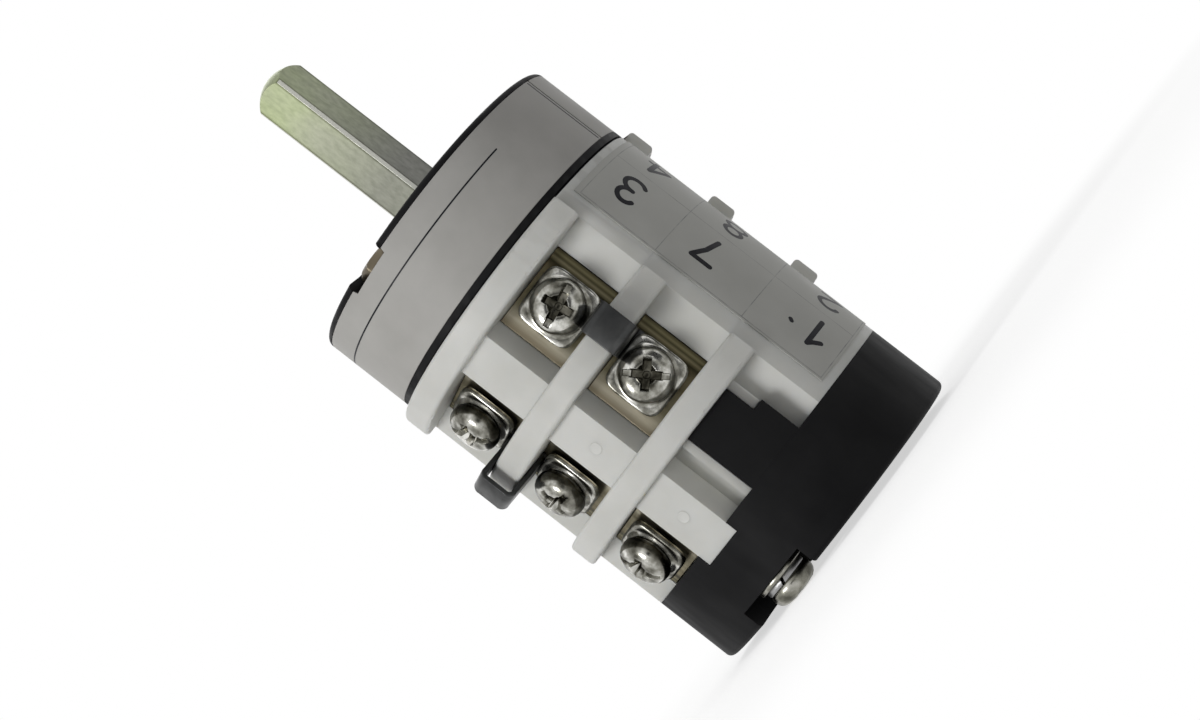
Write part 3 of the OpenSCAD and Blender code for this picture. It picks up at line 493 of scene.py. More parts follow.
# Front label
# White paper glued into the shallow recess of the drum, with one seam, cut out beside the bolts.
LABEL_TOP = -1.15
LABEL_BOTTOM = -15.25
LABEL_INNER_R = 26.34
PAPER_T = 0.15
NOTCH_HALF_DEG = 9.4
NOTCH_DEPTH = 1.95
SEAM_DEG = 5.4
LABEL_SPAN_DEG = 359.2
LABEL_STEPS = 720
PAPER_FOLD_DEG = 40
METAL_FOLD_DEG = 50


def paper(name, light, dark):
    """Label paper: a little clouded, with fine fibres."""
    finish, nodes, links, shader, place = begin_finish(name, 0.5)
    cloud = speckle(nodes, links, place, 120, 4)
    fibre = speckle(nodes, links, place, 2200, 5, (1, 1, 0.3))
    links.new(graded(nodes, links, cloud, [(0.35, dark), (0.65, light)]), shader.inputs["Base Color"])
    links.new(spread(nodes, links, cloud, 0.42, 0.6), shader.inputs["Roughness"])
    relief(nodes, links, shader, [(cloud, 0.02 * MM), (fibre, 0.004 * MM)])
    shader.inputs["Specular IOR Level"].default_value = 0.22
    return finish


def on_drum(radius, degrees, z):
    """A point on a cylinder round the shaft, in millimetres."""
    a = math.radians(degrees)
    return radius * math.cos(a), radius * math.sin(a), z


def keep_edges_sharp(mesh, degrees):
    """Marks the edges that fold by more than this angle, so the rest shade smoothly."""
    mesh.set_sharp_from_angle(angle=math.radians(degrees))


def wrapped_sheet(rows, radius, top_and_bottom, start, end, steps):
    """A sheet of paper bent round the shaft's axis. Its top and bottom edges may change along it."""
    made = bmesh.new()
    rings = []
    for i in range(steps + 1):
        degrees = start + (end - start) * i / steps
        top, bottom = top_and_bottom(degrees)
        levels = [bottom + (top - bottom) * j / rows for j in range(rows + 1)]
        outer = ring_of(made, [on_drum(radius + PAPER_T, degrees, z) for z in levels])
        inner = ring_of(made, [on_drum(radius, degrees, z) for z in levels])
        rings.append(outer + inner[::-1])
    tube(made, rings)
    mesh = closed_mesh(made, "sheet")
    keep_edges_sharp(mesh, PAPER_FOLD_DEG)
    return mesh


def front_label_edges(degrees):
    for bolt in (-90, 90, 270):
        if abs(degrees - bolt) < NOTCH_HALF_DEG:
            return -NOTCH_DEPTH, LABEL_BOTTOM
    return LABEL_TOP, LABEL_BOTTOM


label_paper = paper("label_paper", (0.455, 0.446, 0.424), (0.405, 0.396, 0.375))
sheet = wrapped_sheet(3, LABEL_INNER_R, front_label_edges, SEAM_DEG, SEAM_DEG + LABEL_SPAN_DEG, LABEL_STEPS)
front_paper = place_piece("front_paper", sheet, "housing", label_paper)
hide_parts("front_label")

# Printed lines and numbers
# A thin film of black ink on the two papers: ruled lines, and the terminal numbers of each contact.
# The numbers lie on their sides and read towards the shaft.
INK_T = 0.008
INK_LIFT = 0.001
INK_STEP = 0.4


def printing_ink(name, roughness, specular, patch_scale, dark, light):
    finish, nodes, links, shader, place = begin_finish(name, roughness)
    shader.inputs["Specular IOR Level"].default_value = specular
    tone = speckle(nodes, links, place, patch_scale, 4)
    links.new(graded(nodes, links, tone, [(NOISE_LOW, dark), (NOISE_HIGH, light)]), shader.inputs["Base Color"])
    return finish


black_ink = printing_ink("black_ink", 0.42, 0.12, 900, (0.008, 0.008, 0.011), (0.022, 0.022, 0.027))
faded_ink = printing_ink("faded_ink", 0.5, 0.5, 500, (0.2, 0.2, 0.2), (0.42, 0.42, 0.4))


def in_short_steps(points):
    """The same line with points close enough to follow the round of the paper."""
    fine = [points[0]]
    for a, b in zip(points, points[1:]):
        count = max(1, math.ceil(math.dist(a, b) / INK_STEP))
        fine += [tuple(p + (q - p) * i / count for p, q in zip(a, b)) for i in range(1, count + 1)]
    return fine


def ink_line(made, points, width, radius):
    """A stroke of ink with round ends, along points given as (millimetres round the paper, z)."""
    half = width / 2
    points = in_short_steps(points)
    count = len(points)

    def heading(a, b):
        return Vector((b[0] - a[0], b[1] - a[1])).normalized()

    pairs = []
    for i, (s, z) in enumerate(points):
        run = heading(points[max(i - 1, 0)], points[min(i + 1, count - 1)])
        side = Vector((-run.y, run.x)) * half
        pairs.append(((s + side.x, z + side.y), (s - side.x, z - side.y)))
    caps = []
    for spot, run in ((points[0], -heading(*points[:2])), (points[-1], heading(*points[-2:]))):
        normal = Vector((-run.y, run.x))
        caps.append([(spot[0] + half * (math.cos(a) * normal.x + math.sin(a) * run.x),
                      spot[1] + half * (math.cos(a) * normal.y + math.sin(a) * run.y))
                     for a in (math.pi * j / 8 for j in range(1, 8))])

    def lifted(spots, height):
        return ring_of(made, [on_drum(radius + height, math.degrees(s / radius), z) for s, z in spots])

    upper = [lifted(pair, INK_T) for pair in pairs]
    lower = [lifted(pair, 0) for pair in pairs]
    for i in range(count - 1):
        made.faces.new((upper[i][0], upper[i + 1][0], upper[i + 1][1], upper[i][1]))
        made.faces.new((lower[i][1], lower[i + 1][1], lower[i + 1][0], lower[i][0]))
        for side in (0, 1):
            made.faces.new((upper[i][side], lower[i][side], lower[i + 1][side], upper[i + 1][side]))
    for i, cap, a, b in ((0, caps[0], 1, 0), (count - 1, caps[1], 0, 1)):
        edge_up = [upper[i][a]] + lifted(cap, INK_T) + [upper[i][b]]
        edge_low = [lower[i][a]] + lifted(cap, 0) + [lower[i][b]]
        made.faces.new(edge_up)
        made.faces.new(edge_low[::-1])
        for j in range(len(edge_up) - 1):
            made.faces.new((edge_up[j], edge_up[j + 1], edge_low[j + 1], edge_low[j]))


def arc(cx, cy, rx, ry, start, end, steps):
    """Points on an ellipse, from one angle to another in degrees."""
    return [(cx + rx * math.cos(math.radians(start + (end - start) * i / steps)),
             cy + ry * math.sin(math.radians(start + (end - start) * i / steps))) for i in range(steps + 1)]


# Strokes of each number in a cell 1 high: x is the reading direction, y goes up
DIGITS = {
    1: [[(0.02, 0.72), (0.2, 0.86), (0.3, 0.98)], [(0.3, 0.98), (0.3, 0.5), (0.3, 0.02)]],
    2: [arc(0.3, 0.72, 0.27, 0.26, 165, -35, 14) + [(0.4, 0.42), (0.04, 0.02)],
        [(0.04, 0.02), (0.3, 0.02), (0.58, 0.02)]],
    3: [arc(0.29, 0.745, 0.25, 0.235, 150, -90, 14) + [(0.24, 0.51)], arc(0.29, 0.265, 0.28, 0.245, 90, -150, 14)],
    4: [[(0.44, 0.02), (0.44, 0.5), (0.44, 0.98)], [(0.44, 0.98), (0.2, 0.6), (0.02, 0.28)],
        [(0.02, 0.28), (0.3, 0.28), (0.6, 0.28)]],
    7: [[(0.03, 0.97), (0.3, 0.97), (0.58, 0.97)], [(0.58, 0.97), (0.36, 0.55), (0.24, 0.02)]],
    8: [arc(0.3, 0.745, 0.235, 0.235, 0, 360, 24), arc(0.3, 0.265, 0.275, 0.245, 0, 360, 24)],
}
NUMBER_R = 26.52
PRINT_R = NUMBER_R + PAPER_T + INK_LIFT
DIGIT_H = 6.2
DIGIT_INK = 0.86
LEFT_DEG, RIGHT_DEG = -4.3, 19.6
DOT_INK = 0.75
DOT_ENDS = ((-13.6, -54.9), (-13.1, -54.6))


def print_piece(name, mesh_name, radius, ink, lines):
    """One piece of print, from lines given as (points, width)."""
    made = bmesh.new()
    for points, width in lines:
        ink_line(made, points, width, radius)
    place_piece(name, mesh_of(made, mesh_name), "housing", ink, smooth=False)


def straight(start, end, steps):
    return [tuple(a + (b - a) * i / steps for a, b in zip(start, end)) for i in range(steps + 1)]


# Each number's foot is at an angle round the paper, and its first stroke at a place on the axis
lines = []
for value, foot_deg, start_z in ((3, LEFT_DEG, -26.1), (4, RIGHT_DEG, -26.7), (7, LEFT_DEG, -40.8),
                                 (8, RIGHT_DEG, -41.4), (1, LEFT_DEG, -60.5), (2, RIGHT_DEG, -59.5)):
    foot = PRINT_R * math.radians(foot_deg)
    lines += [([(foot - y * DIGIT_H, start_z + x * DIGIT_H) for x, y in stroke], DIGIT_INK)
              for stroke in DIGITS[value]]
lines.append(([(PRINT_R * math.radians(degrees), z) for degrees, z in DOT_ENDS], DOT_INK))
print_piece("printed_numbers", "number_ink", PRINT_R, black_ink, lines)

RULE_R = LABEL_INNER_R + PAPER_T + INK_LIFT
RULE_Z = -5.5
RULE_START, RULE_END, OVERLAP = (RULE_R * math.radians(degrees) for degrees in (-165, -31.5, 3.2))
OVERLAP_INSET = 0.3
RULE_INK, OVERLAP_INK = 0.26, 0.3
lines = [(straight((RULE_START, RULE_Z), (RULE_END, RULE_Z), 80), RULE_INK),
         (straight((OVERLAP, LABEL_TOP - OVERLAP_INSET), (OVERLAP, LABEL_BOTTOM + OVERLAP_INSET), 4), OVERLAP_INK)]
print_piece("printed_rules", "rule_ink", RULE_R, black_ink, lines)

PAPER_HALF_DEG = 26
PAPER_TOP = -18.05
PAPER_BOTTOM = -63.85
CELL_INK = 0.14
CELL_TOP = PAPER_TOP - 1.0
CELL_BOTTOM = PAPER_BOTTOM + 0.45
CELL_EDGE = PRINT_R * math.radians(PAPER_HALF_DEG) - 0.35
CELL_MIDDLE = PRINT_R * math.radians(0.8)
lines = [(straight((-CELL_EDGE, z), (CELL_EDGE, z), 30), CELL_INK) for z in (CELL_TOP, -32.9, -48.8, CELL_BOTTOM)]
lines += [(straight((s, CELL_TOP), (s, CELL_BOTTOM), 30), CELL_INK) for s in (-CELL_EDGE, CELL_MIDDLE)]
print_piece("printed_cells", "cell_ink", PRINT_R, faded_ink, lines)

# Number label
# A strip of the same paper on the smooth seat that crosses all three stages.
number_sheet = wrapped_sheet(40, NUMBER_R, lambda degrees: (PAPER_TOP, PAPER_BOTTOM),
                             -PAPER_HALF_DEG, PAPER_HALF_DEG, steps=60)
strip_paper = paper("strip_paper", (0.5, 0.5, 0.472), (0.455, 0.455, 0.428))
number_paper = place_piece("number_paper", number_sheet, "housing", strip_paper)
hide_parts("number_label")

# Clamp plates
# Square stampings of nickel-plated steel, one under each terminal screw, with a pressed dome and rounded edges.
# They stand off the brass by the thickness of a wire end or a strap.
CLAMP_BASE_R = 22.9
CLAMP_TOP_R = 24.5
CLAMP_W = 9.8
CLAMP_T = 0.9
CLAMP_SQUARENESS = 5.4
CLAMP_STEPS = 64
CLAMP_HOLE_R = 2.15


def at_terminal(side, end, z):
    """The frame of one terminal: z points out from the shaft, x along the shaft towards the rear."""
    degrees = -TERMINAL_DEG if end > 0 else TERMINAL_DEG
    if side < 0:
        degrees = 180 - degrees
    turn = Matrix.Rotation(math.radians(degrees), 4, "Z") @ Matrix.Rotation(math.pi / 2, 4, "Y")
    return Matrix.Translation((0, 0, z * MM)) @ turn


def terminals(k):
    """The frames of all the terminals of a stage."""
    sides = (-1,) if k == 3 else (1, -1)
    return [at_terminal(side, end, STAGE_MIDS[k - 1]) for side in sides for end in (1, -1)]


def pressed_clamp():
    """A square plate with round corners, drawn up to a flat-topped dome round the screw's hole."""
    made = bmesh.new()
    rise = CLAMP_TOP_R - CLAMP_BASE_R
    # Each level is a circle's radius, how square the outline is, and its height
    levels = [(CLAMP_HOLE_R, 0, rise), (2.2, 0, rise + 0.04), (2.9, 0, rise + 0.04), (3.35, 0, rise),
              (3.9, 0, CLAMP_T + 0.55 * (rise - CLAMP_T)), (4.3, 0, CLAMP_T + 0.1 * (rise - CLAMP_T)),
              (4.5, 0.35, CLAMP_T), (0, 0.93, CLAMP_T), (0, 0.985, CLAMP_T - 0.1), (0, 1.0, CLAMP_T - 0.3),
              (0, 1.0, 0.25), (0, 0.985, 0.05), (0, 0.94, 0), (4.4, 0, 0), (CLAMP_HOLE_R, 0, 0)]
    rings = []
    for radius, square, height in levels:
        points = []
        for i in range(CLAMP_STEPS):
            angle = 2 * math.pi * (i + 0.5) / CLAMP_STEPS
            c, s = math.cos(angle), math.sin(angle)
            corner = (abs(c) ** CLAMP_SQUARENESS + abs(s) ** CLAMP_SQUARENESS) ** (-1 / CLAMP_SQUARENESS)
            reach = (1 - square) * radius + square * corner * CLAMP_W / 2 * (0.9 if radius else 1)
            points.append((reach * c, reach * s, CLAMP_BASE_R + height))
        rings.append(ring_of(made, points))
    skin(made, rings + rings[:1])
    mesh = closed_mesh(made, "clamp")
    keep_edges_sharp(mesh, METAL_FOLD_DEG)
    return mesh


def join_copies(name, mesh, places, finish):
    """One fixed piece of several like bodies, each a copy of a mesh at its own place."""
    made = bmesh.new()
    for spot in places:
        copy = mesh.copy()
        copy.transform(spot)
        made.from_mesh(copy)
        bpy.data.meshes.remove(copy)
    whole = mesh_of(made, name)
    keep_edges_sharp(whole, METAL_FOLD_DEG)
    return place_piece(name, whole, "housing", finish)


# Painted dark reflections: the plating's tone runs down to near black in patches, in place of the dark that the nickel
# would reflect
NICKEL_TONES_AND_DARK_REFLECTIONS = [(0.34, (0.075, 0.072, 0.058)), (0.47, (0.24, 0.235, 0.205)), (0.57, (0.46, 0.455, 0.42)),
                (0.68, (0.76, 0.75, 0.71))]


def nickel_plate(name, tones, low, high):
    return plated_metal(name, tones, low, high, 0.006 * MM, (1, 1, 1), 420)


bright_nickel = nickel_plate("bright_nickel", NICKEL_TONES_AND_DARK_REFLECTIONS, 0.14, 0.3)
clamp_mesh = pressed_clamp()
for k in (1, 2, 3):
    plates = join_copies(f"clamp_squares_{k}", clamp_mesh, terminals(k), bright_nickel)
    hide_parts(f"clamp_plates_{k}")

# Terminal screws
# M4 pan-head screws with a cross recess and a slot, nickel plated, through each clamp plate into the brass.
# Each was stopped at its own angle.
SCREW_HEAD_R = 4.2
SCREW_HEAD_H = 3.0
SHANK_R = 1.98
SHANK_L = 8.0
PITCH = 0.7
THREAD_DEPTH = 0.3 * PITCH
TIP_RINGS = 8
TIP_SHARE = 0.55
HEAD_STEPS = 64
THREAD_STEPS = 24
RECESS_STEPS = 24
CUT_DEG = 38
# A pan head's outline, as shares of its radius and height
HEAD_SHARES = ((0.93, 0), (0.99, 0.12), (1, 0.3), (0.985, 0.5), (0.93, 0.68), (0.83, 0.83), (0.68, 0.94),
               (0.48, 0.99), (0.2, 1))


def turned_head(radius, height):
    """A screw along z: a pan head on z = 0, and a threaded shank below it."""
    made = bmesh.new()
    profile = [(SHANK_R, 0.0)] + [(radius * out, height * up) for out, up in HEAD_SHARES]
    rings = [level_ring(made, r, z, HEAD_STEPS) for r, z in profile]
    skin(made, rings)
    made.faces.new(rings[-1])
    # The thread is a row of rings whose radius waves along the shank, twisted by a turn for each pitch
    count = int(SHANK_L / PITCH * THREAD_STEPS)
    thread = [rings[0]]
    for j in range(1, count + 1):
        z = -SHANK_L * j / count
        taper = min(1.0, (count - j) / TIP_RINGS + TIP_SHARE)
        points = []
        for i in range(HEAD_STEPS):
            angle = 2 * math.pi * i / HEAD_STEPS
            wave = THREAD_DEPTH / 2 * math.cos(2 * math.pi * (z / PITCH) + angle)
            r = (SHANK_R - THREAD_DEPTH / 2 + wave) * taper
            points.append((r * math.cos(angle), r * math.sin(angle), z))
        thread.append(ring_of(made, points))
    skin(made, thread)
    made.faces.new(thread[-1][::-1])
    return closed_mesh(made, "turned_head")


def driver_recess(radius, height):
    """What a driver leaves in a head: a deep tapered cross, and a shallow slot right across."""
    made = bmesh.new()
    top = height * 1.2
    tube(made, [level_ring(made, 0.44 * radius, top, RECESS_STEPS),
                level_ring(made, 0.12 * radius, height * 0.22, RECESS_STEPS)])
    # The slot and the two arms of the cross: their turn, reach, half width and floor, as shares of the head
    for turn, reach, half_w, floor in ((0, 0.98, 0.125, 0.64), (0, 0.6, 0.15, 0.3), (90, 0.6, 0.15, 0.3)):
        spin = Matrix.Rotation(math.radians(turn), 4, "Z")
        ends = []
        for z, share, width in ((top, 1.0, 1.15), (floor * height, 0.82, 0.8)):
            ends.append(ring_of(made, [spin @ Vector((x * reach * share * radius, y * half_w * width * radius, z))
                                       for x, y in ((-1, -1), (1, -1), (1, 1), (-1, 1))]))
        tube(made, ends)
    return closed_mesh(made, "driver_recess")


def cut_out(mesh, tool_mesh, bevel):
    """The mesh with a tool cut out of it, and the new edges rounded."""
    body = put_in("blank", mesh)
    tool = put_in("tool", tool_mesh)
    modify(body, "cut", "BOOLEAN", operation="DIFFERENCE", solver="EXACT", use_self=True, object=tool)
    modify(body, "edge", "BEVEL", width=bevel * MM, segments=2, limit_method="ANGLE", angle_limit=math.radians(CUT_DEG))
    result = baked(body)
    bpy.data.objects.remove(tool)
    return result


# Painted shade darkens each head towards its foot on the clamp plate, and the deep floor of its recess with it
screw_nickel = nickel_plate("screw_nickel", NICKEL_TONES_AND_DARK_REFLECTIONS, 0.14, 0.3)
paint_light_and_shade_along(screw_nickel, (TERMINAL_COS, TERMINAL_SIN, 0), CLAMP_TOP_R, CLAMP_TOP_R + SCREW_HEAD_H,
            [(0.1, (0.13, 0.125, 0.1)), (0.46, (0.32, 0.31, 0.28)), (0.7, (1, 1, 1))])
head_mesh = cut_out(turned_head(SCREW_HEAD_R, SCREW_HEAD_H), driver_recess(SCREW_HEAD_R, SCREW_HEAD_H), bevel=0.09)
on_clamp = Matrix.Translation((0, 0, CLAMP_TOP_R * MM))
SCREW_TURNS = ((98, 61, 33, -25), (32, 12, 71, 40), (20, -12))
for k in (1, 2, 3):
    places = [terminal @ on_clamp @ Matrix.Rotation(math.radians(turn), 4, "Z")
              for terminal, turn in zip(terminals(k), SCREW_TURNS[k - 1])]
    screws = join_copies(f"pan_screws_{k}", head_mesh, places, screw_nickel)
    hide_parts(f"terminal_screws_{k}")

# Jumpers
# Dull plated straps, bent to a U over the second flange, that join the terminals in front of and behind it. Their
# near-black tone is a painted dark reflection.
# Each end is a fork that slips round the screw under its clamp plate.
JUMPER_T = 0.8
JUMPER_W = 5.4
JUMPER_SHIFT = 2.0
JUMPER_FACE_R = 31.6
JUMPER_FRONT = -32.9
JUMPER_BACK = -37.45
JUMPER_FOOT = 22.025
JUMPER_END = 3.0
STRAP_BEND = 0.95
FOOT_BEND = 0.55
STRAP_EDGE = 0.16
STRAP_CORNER = 0.05
FORK_HALF = 2.15
FORK_OPEN = 4.0
FORK_CUT = (-0.5, 1.5)
RUN_STEPS = 6

# Painted dark reflection: the strap's near-black tone stands for the dark that its plating reflects
dull_strap = plated_metal("dull_strap", [(0.3, (0.03, 0.031, 0.032)), (0.5, (0.05, 0.051, 0.051)),
                                         (0.7, (0.08, 0.081, 0.08))], 0.3, 0.52, 0.006 * MM, (1, 0.3, 1), 220)


def rounded_path(corners, radius, steps):
    """The corners of a bent strip, with each bend drawn as an arc."""
    points = [corners[0]]
    for before, corner, after in zip(corners, corners[1:], corners[2:]):
        a = (before - corner).normalized()
        b = (after - corner).normalized()
        half = a.angle(b) / 2
        reach = radius / math.tan(half)
        centre = corner + (a + b).normalized() * (radius / math.sin(half))
        start = corner + a * reach - centre
        end = corner + b * reach - centre
        points += [centre + start] + [centre + start.slerp(end, i / steps) for i in range(1, steps)] + [centre + end]
    points.append(corners[-1])
    return points


def bent_strap():
    """The strap's mesh in a terminal's own radius and height: x out from the shaft, y across, z along it."""
    mid = JUMPER_T / 2
    foot = JUMPER_FOOT + mid
    top = JUMPER_FACE_R - mid
    front, back = JUMPER_FRONT + mid, JUMPER_BACK - mid
    corners = [Vector((x, 0, z)) for x, z in ((foot, STAGE_MIDS[0] + JUMPER_END), (foot, front), (top, front),
                                              (top, back), (foot, back), (foot, STAGE_MIDS[1] - JUMPER_END))]
    outside = rounded_path(corners[1:5], STRAP_BEND, 8)[1:-1]
    front_foot = rounded_path(corners[0:3], FOOT_BEND, 5)[1:-1]
    back_foot = rounded_path(corners[3:6], FOOT_BEND, 5)[1:-1]
    front_run = [corners[0] + (front_foot[0] - corners[0]) * i / RUN_STEPS for i in range(RUN_STEPS)]
    back_run = [back_foot[-1] + (corners[-1] - back_foot[-1]) * (i + 1) / RUN_STEPS for i in range(RUN_STEPS)]
    line = front_run + front_foot + outside + back_foot + back_run
    # A quarter of the strap's section, and the other three from it
    half = JUMPER_W / 2
    quarter = [(half - STRAP_EDGE, mid), (half - STRAP_CORNER, mid - STRAP_CORNER), (half, mid - STRAP_EDGE)]
    upper = quarter + [(a, -b) for a, b in reversed(quarter)]
    section = upper + [(-a, b) for a, b in reversed(upper)]
    made = bmesh.new()
    rings = []
    for i, spot in enumerate(line):
        run = (line[min(i + 1, len(line) - 1)] - line[max(i - 1, 0)]).normalized()
        out = Vector((run.z, 0, -run.x))
        rings.append(ring_of(made, [spot + Vector((0, a + JUMPER_SHIFT, 0)) + out * b for a, b in section]))
    tube(made, rings)
    return closed_mesh(made, "strap")


def fork_tool():
    """The two slots of the forks, open towards the strap's ends."""
    made = bmesh.new()
    outline = [(FORK_HALF * math.cos(a), -FORK_HALF * math.sin(a)) for a in (math.pi * i / 24 for i in range(25))]
    outline += [(-FORK_HALF, FORK_OPEN), (FORK_HALF, FORK_OPEN)]
    for z, away in ((STAGE_MIDS[0], 1), (STAGE_MIDS[1], -1)):
        tube(made, [ring_of(made, [(JUMPER_FOOT + level, y, z + away * t) for y, t in outline])
                    for level in FORK_CUT])
    return closed_mesh(made, "fork_slots")


strap_mesh = cut_out(bent_strap(), fork_tool(), bevel=0.04)
for side, hand in ((1, "right"), (-1, "left")):
    turn = Matrix.Rotation(math.radians(-TERMINAL_DEG), 4, "Z")
    if side < 0:
        turn = Matrix.Scale(-1, 4, (1, 0, 0)) @ turn
    mesh = strap_mesh.copy()
    mesh.transform(turn)
    if side < 0:
        mesh.flip_normals()
    keep_edges_sharp(mesh, METAL_FOLD_DEG)
    strap = place_piece("bent_strap_" + hand, mesh, "housing", dull_strap)
    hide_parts("jumper_" + hand)

# Through bolts
# Two long M4 bolts that clamp the whole stack, their heads in side-open slots of the rear cover.
# Under each head are a split spring washer and a flat washer.
BOLT_Y = 21.8
BOLT_HEAD_Z = -77.55
BOLT_HEAD_R = 4.0
BOLT_HEAD_H = 2.7
BOLT_L = 77.1
BOLT_BODY_R = 1.95
BOLT_THREAD_L = 8.6
BOLT_THREADS = 12
BOLT_STEPS = 48
ROOT_R, CREST_R = 1.74, 1.97
# Painted dark reflections: the bolts' plating is darkened in patches, in place of the dark that it would reflect
bolt_nickel = nickel_plate("bolt_nickel", [(0.34, (0.1, 0.098, 0.08)), (0.5, (0.24, 0.235, 0.2)),
                                           (0.68, (0.46, 0.45, 0.41))], 0.2, 0.34)
bolt_head = cut_out(turned_head(BOLT_HEAD_R, BOLT_HEAD_H), driver_recess(BOLT_HEAD_R, BOLT_HEAD_H), bevel=0.08)


def long_shank():
    """The shank of a through bolt, from under its head to the end of its thread in the nut."""
    made = bmesh.new()
    thread_start = BOLT_L - BOLT_THREAD_L
    profile = [(1.7, 7.0), (BOLT_BODY_R, 7.4), (BOLT_BODY_R, thread_start - 0.4), (1.75, thread_start - 0.2)]
    for i in range(BOLT_THREADS):
        start = thread_start + i * PITCH
        profile += [(ROOT_R, start), (CREST_R, start + 0.35 * PITCH), (CREST_R, start + 0.5 * PITCH)]
    profile += [(ROOT_R, BOLT_L - 0.2), (1.5, BOLT_L)]
    tube(made, [level_ring(made, r, z, BOLT_STEPS) for r, z in profile])
    return mesh_of(made, "long_shank")


def bolt_places(z, turns=(0, 0)):
    """Where the two bolts stand, at a height, each turned by its own angle."""
    return [Matrix.Translation(Vector((0, s * BOLT_Y, z)) * MM) @ Matrix.Rotation(math.radians(turn), 4, "Z")
            for s, turn in zip((-1, 1), turns)]


whole_bolt = bmesh.new()
bolt_head.transform(Matrix.Rotation(math.pi, 4, "X"))
whole_bolt.from_mesh(bolt_head)
whole_bolt.from_mesh(long_shank())
bolts = join_copies("long_bolts", mesh_of(whole_bolt, "whole_bolt"), bolt_places(BOLT_HEAD_Z, (12, 50)),
                    bolt_nickel)
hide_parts("through_bolts")

WASHER_HOLE_R = 2.15
FLAT_WASHER_Z = -76.5
WASHER_STEPS = 72


def turned_washer(outer, thickness, edge, split_deg=0.0, lift=0.0):
    """A round washer on z = 0. A spring washer is cut through on the slant and its ends are sprung apart."""
    made = bmesh.new()
    inner = WASHER_HOLE_R
    section = [(inner + edge, 0), (outer - edge, 0), (outer, edge), (outer, thickness - edge),
               (outer - edge, thickness), (inner + edge, thickness), (inner, thickness - edge), (inner, edge)]
    rings = []
    for i in range(WASHER_STEPS + (1 if split_deg else 0)):
        degrees = split_deg / 2 + (360 - split_deg) * i / WASHER_STEPS
        rise = lift * (i / WASHER_STEPS - 0.5)
        slants = [degrees + 0.9 * split_deg * (z / thickness - 0.5) for r, z in section]
        rings.append(ring_of(made, [on_drum(r, slant, z + rise) for slant, (r, z) in zip(slants, section)]))
    if split_deg:
        tube(made, rings)
    else:
        skin(made, rings + rings[:1])
    return closed_mesh(made, "washer")


washers = join_copies("flat_washers", turned_washer(outer=4.5, thickness=0.8, edge=0.1),
                      bolt_places(FLAT_WASHER_Z), bolt_nickel)
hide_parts("bolt_washers")
split = join_copies("split_washers", turned_washer(outer=3.75, thickness=1.0, edge=0.12, split_deg=9.0, lift=0.05),
                    bolt_places(BOLT_HEAD_Z + 0.03, (-70, 70)), spring_steel)
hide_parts("bolt_spring_washers")

# Bolt nuts
# Brass-plated hexagon nuts in the pockets of the front face, with both ends chamfered.
NUT_W = 7.0
NUT_H = 3.2
NUT_TOP = -0.45
NUT_CORNER_R = 3.95
NUT_STEPS = 72


def hexagon_nut():
    made = bmesh.new()
    # Each level is a radius, or 0 on the six flats, and a height
    levels = [(2.05, 0.25), (2.35, 0.0), (3.3, 0.0), (0, 0.32), (0, NUT_H - 0.32), (3.3, NUT_H), (2.35, NUT_H),
              (2.05, NUT_H - 0.25)]
    rings = []
    for radius, z in levels:
        points = []
        for i in range(NUT_STEPS):
            angle = 2 * math.pi * i / NUT_STEPS
            reach, height = radius, z
            if not radius:
                within = (angle + math.pi / 6) % (math.pi / 3) - math.pi / 6
                reach = min(NUT_W / 2 / math.cos(within), NUT_CORNER_R)
                drop = max(0.0, reach - NUT_W / 2) * 0.5
                height = z + drop if z < NUT_H / 2 else z - drop
            points.append((reach * math.cos(angle), reach * math.sin(angle), height))
        rings.append(ring_of(made, points))
    skin(made, rings + rings[:1])
    return closed_mesh(made, "hexagon_nut")


nut_brass = plated_metal("nut_brass", [(0.3, (0.08, 0.066, 0.045)), (0.7, (0.17, 0.145, 0.105))],
                         0.28, 0.45, 0.004 * MM, (1, 1, 1))
nuts = join_copies("hexagon_nuts", hexagon_nut(), bolt_places(NUT_TOP - NUT_H), nut_brass)
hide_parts("bolt_nuts")

# Floor, light and camera
# The switch stands on its bolt heads on a plain white floor, in soft light that is stronger from the left.
# The camera is rolled, so that the shaft points to the upper left as in the photograph.
FLOOR_Z = -80.32
FLOOR_R = 0.9
WHITE = (1, 1, 1, 1)
SHADOW_R = 0.07
CLEAR_R = 0.16

made = bmesh.new()
bmesh.ops.create_circle(made, cap_ends=True, segments=96, radius=FLOOR_R)
floor_mesh = mesh_of(made, "floor")
floor = put_in("floor", floor_mesh)
floor.location.z = FLOOR_Z * MM
floor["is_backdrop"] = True


def cleared(owner, kind):
    """The nodes and links of a paint or a world, with only the surface that they end in."""
    owner.use_nodes = True
    nodes, links = owner.node_tree.nodes, owner.node_tree.links
    nodes.clear()
    return nodes, links, added(nodes, "Output" + kind).inputs["Surface"]


def mixed(nodes, links, share, first, second):
    """The first shader, and the second as far as the share says."""
    mix = added(nodes, "MixShader")
    links.new(share, mix.inputs["Fac"])
    links.new(first, mix.inputs[1])
    links.new(second, mix.inputs[2])
    return mix.outputs["Shader"]


def as_seen(nodes, links, plain, seen):
    """A plain shader for the light on the object, and another for what the eye, gloss and glass see."""
    ray = added(nodes, "LightPath")
    share = ray.outputs["Is Camera Ray"]
    for kind in ("Is Glossy Ray", "Is Transmission Ray"):
        either = added(nodes, "Math", operation="MAXIMUM")
        links.new(share, either.inputs[0])
        links.new(ray.outputs[kind], either.inputs[1])
        share = either.outputs["Value"]
    return mixed(nodes, links, share, plain, seen)


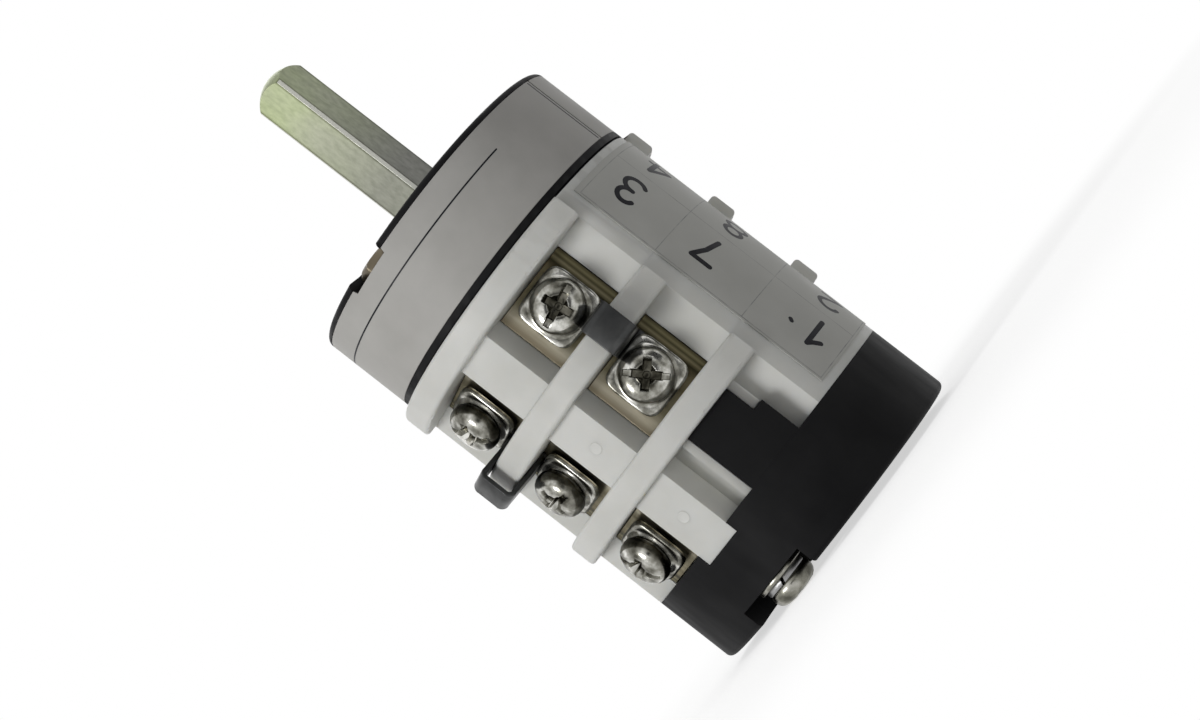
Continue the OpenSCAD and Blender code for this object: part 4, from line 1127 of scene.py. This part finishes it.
# The floor keeps the shadow under the switch and fades to white round it
floor_paint = bpy.data.materials.new("floor_paint")
nodes, links, surface = cleared(floor_paint, "Material")
matt = added(nodes, "BsdfDiffuse", {"Color": (0.8, 0.8, 0.8, 1)}).outputs["BSDF"]
lift = added(nodes, "Emission", {"Color": WHITE, "Strength": 0.6}).outputs["Emission"]
white = added(nodes, "Emission", {"Color": WHITE}).outputs["Emission"]
lit = added(nodes, "AddShader")
links.new(matt, lit.inputs[0])
links.new(lift, lit.inputs[1])
length = added(nodes, "VectorMath", operation="LENGTH")
links.new(added(nodes, "TexCoord").outputs["Object"], length.inputs[0])
fade = added(nodes, "MapRange", {"From Min": SHADOW_R, "From Max": CLEAR_R}, interpolation_type="SMOOTHSTEP")
links.new(length.outputs["Value"], fade.inputs["Value"])
seen = mixed(nodes, links, fade.outputs["Result"], lit.outputs["Shader"], white)
links.new(as_seen(nodes, links, matt, seen), surface)
floor_mesh.materials.append(floor_paint)

world = bpy.data.worlds.new("studio")
scene.world = world
nodes, links, surface = cleared(world, "World")
room = added(nodes, "Background", {"Color": WHITE, "Strength": 0.28}).outputs["Background"]
backdrop = added(nodes, "Background", {"Color": WHITE, "Strength": 1.0}).outputs["Background"]
links.new(as_seen(nodes, links, room, backdrop), surface)

ELEVATION = math.radians(-3.87)
DISTANCE = 0.3984
AROUND = math.radians(30.8)
ROLL_X, ROLL_Y = 0.613, 0.790
AIM_Z = -34.9
AIM_SIDE = 2.785
LENS = 77.25
right = Vector((math.cos(AROUND), math.sin(AROUND), 0))
look = Vector((-math.cos(ELEVATION) * math.sin(AROUND), math.cos(ELEVATION) * math.cos(AROUND), -math.sin(ELEVATION)))
up = right.cross(look)
eye = Vector((0, 0, AIM_Z)) * MM - right * AIM_SIDE * MM - look * DISTANCE
camera_x = right * ROLL_X - up * ROLL_Y
camera_y = right * ROLL_Y + up * ROLL_X
camera_data = bpy.data.cameras.new("camera")
camera_data.lens = LENS
camera = put_in("camera", camera_data)
camera.matrix_world = Matrix.Translation(eye) @ Matrix((camera_x, camera_y, -look)).transposed().to_4x4()
scene.camera = camera

# Dark cards beside and behind the camera, which only show as reflections in the plated metal
CARD_STEPS = 16
card_paint = bpy.data.materials.new("card_paint")
nodes, links, surface = cleared(card_paint, "Material")
dark = added(nodes, "Emission", {"Color": (0.03, 0.03, 0.03, 1)}).outputs["Emission"]
clear = added(nodes, "BsdfTransparent").outputs["BSDF"]
links.new(mixed(nodes, links, added(nodes, "LightPath").outputs["Is Glossy Ray"], clear, dark), surface)


def card(name, start, end, low, high, radius):
    """A curved upright card round the object, from one compass angle to another."""
    made = bmesh.new()
    columns = []
    for i in range(CARD_STEPS + 1):
        a = math.radians(start + (end - start) * i / CARD_STEPS)
        columns.append([made.verts.new((radius * math.cos(a), radius * math.sin(a), z)) for z in (low, high)])
    for a, b in zip(columns, columns[1:]):
        made.faces.new((a[0], b[0], b[1], a[1]))
    mesh = mesh_of(made, name)
    mesh.materials.append(card_paint)
    sheet = put_in(name, mesh)
    sheet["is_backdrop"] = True


card("card_behind", -72, -42, -0.12, 0.1, 0.62)
card("card_right", -30, 20, -0.45, 0.3, 0.66)
card("card_left", -118, -100, -0.5, 0.0, 0.66)

LIT_MIDDLE = Vector((0, 0, -0.03))


def soft_lamp(name, away, size, watts):
    """A round lamp at a place away from the middle of the switch, which it faces."""
    data = bpy.data.lights.new(name, "AREA")
    data.shape = "DISK"
    data.size = size
    data.energy = watts
    lamp = put_in(name, data)
    lamp.location = LIT_MIDDLE + away
    lamp.rotation_mode = "QUATERNION"
    lamp.rotation_quaternion = (-away).to_track_quat("-Z", "Y")


soft_lamp("key", right * -0.56 + look * -0.5 + Vector((0, 0, 0.16)), 0.3, 2.6)
soft_lamp("fill", right * 0.6 + look * -0.35 + Vector((0, 0, 0.1)), 0.5, 0.3)
soft_lamp("back", look * 0.6 + Vector((0, 0, 0.35)), 0.5, 0.8)

low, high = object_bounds()
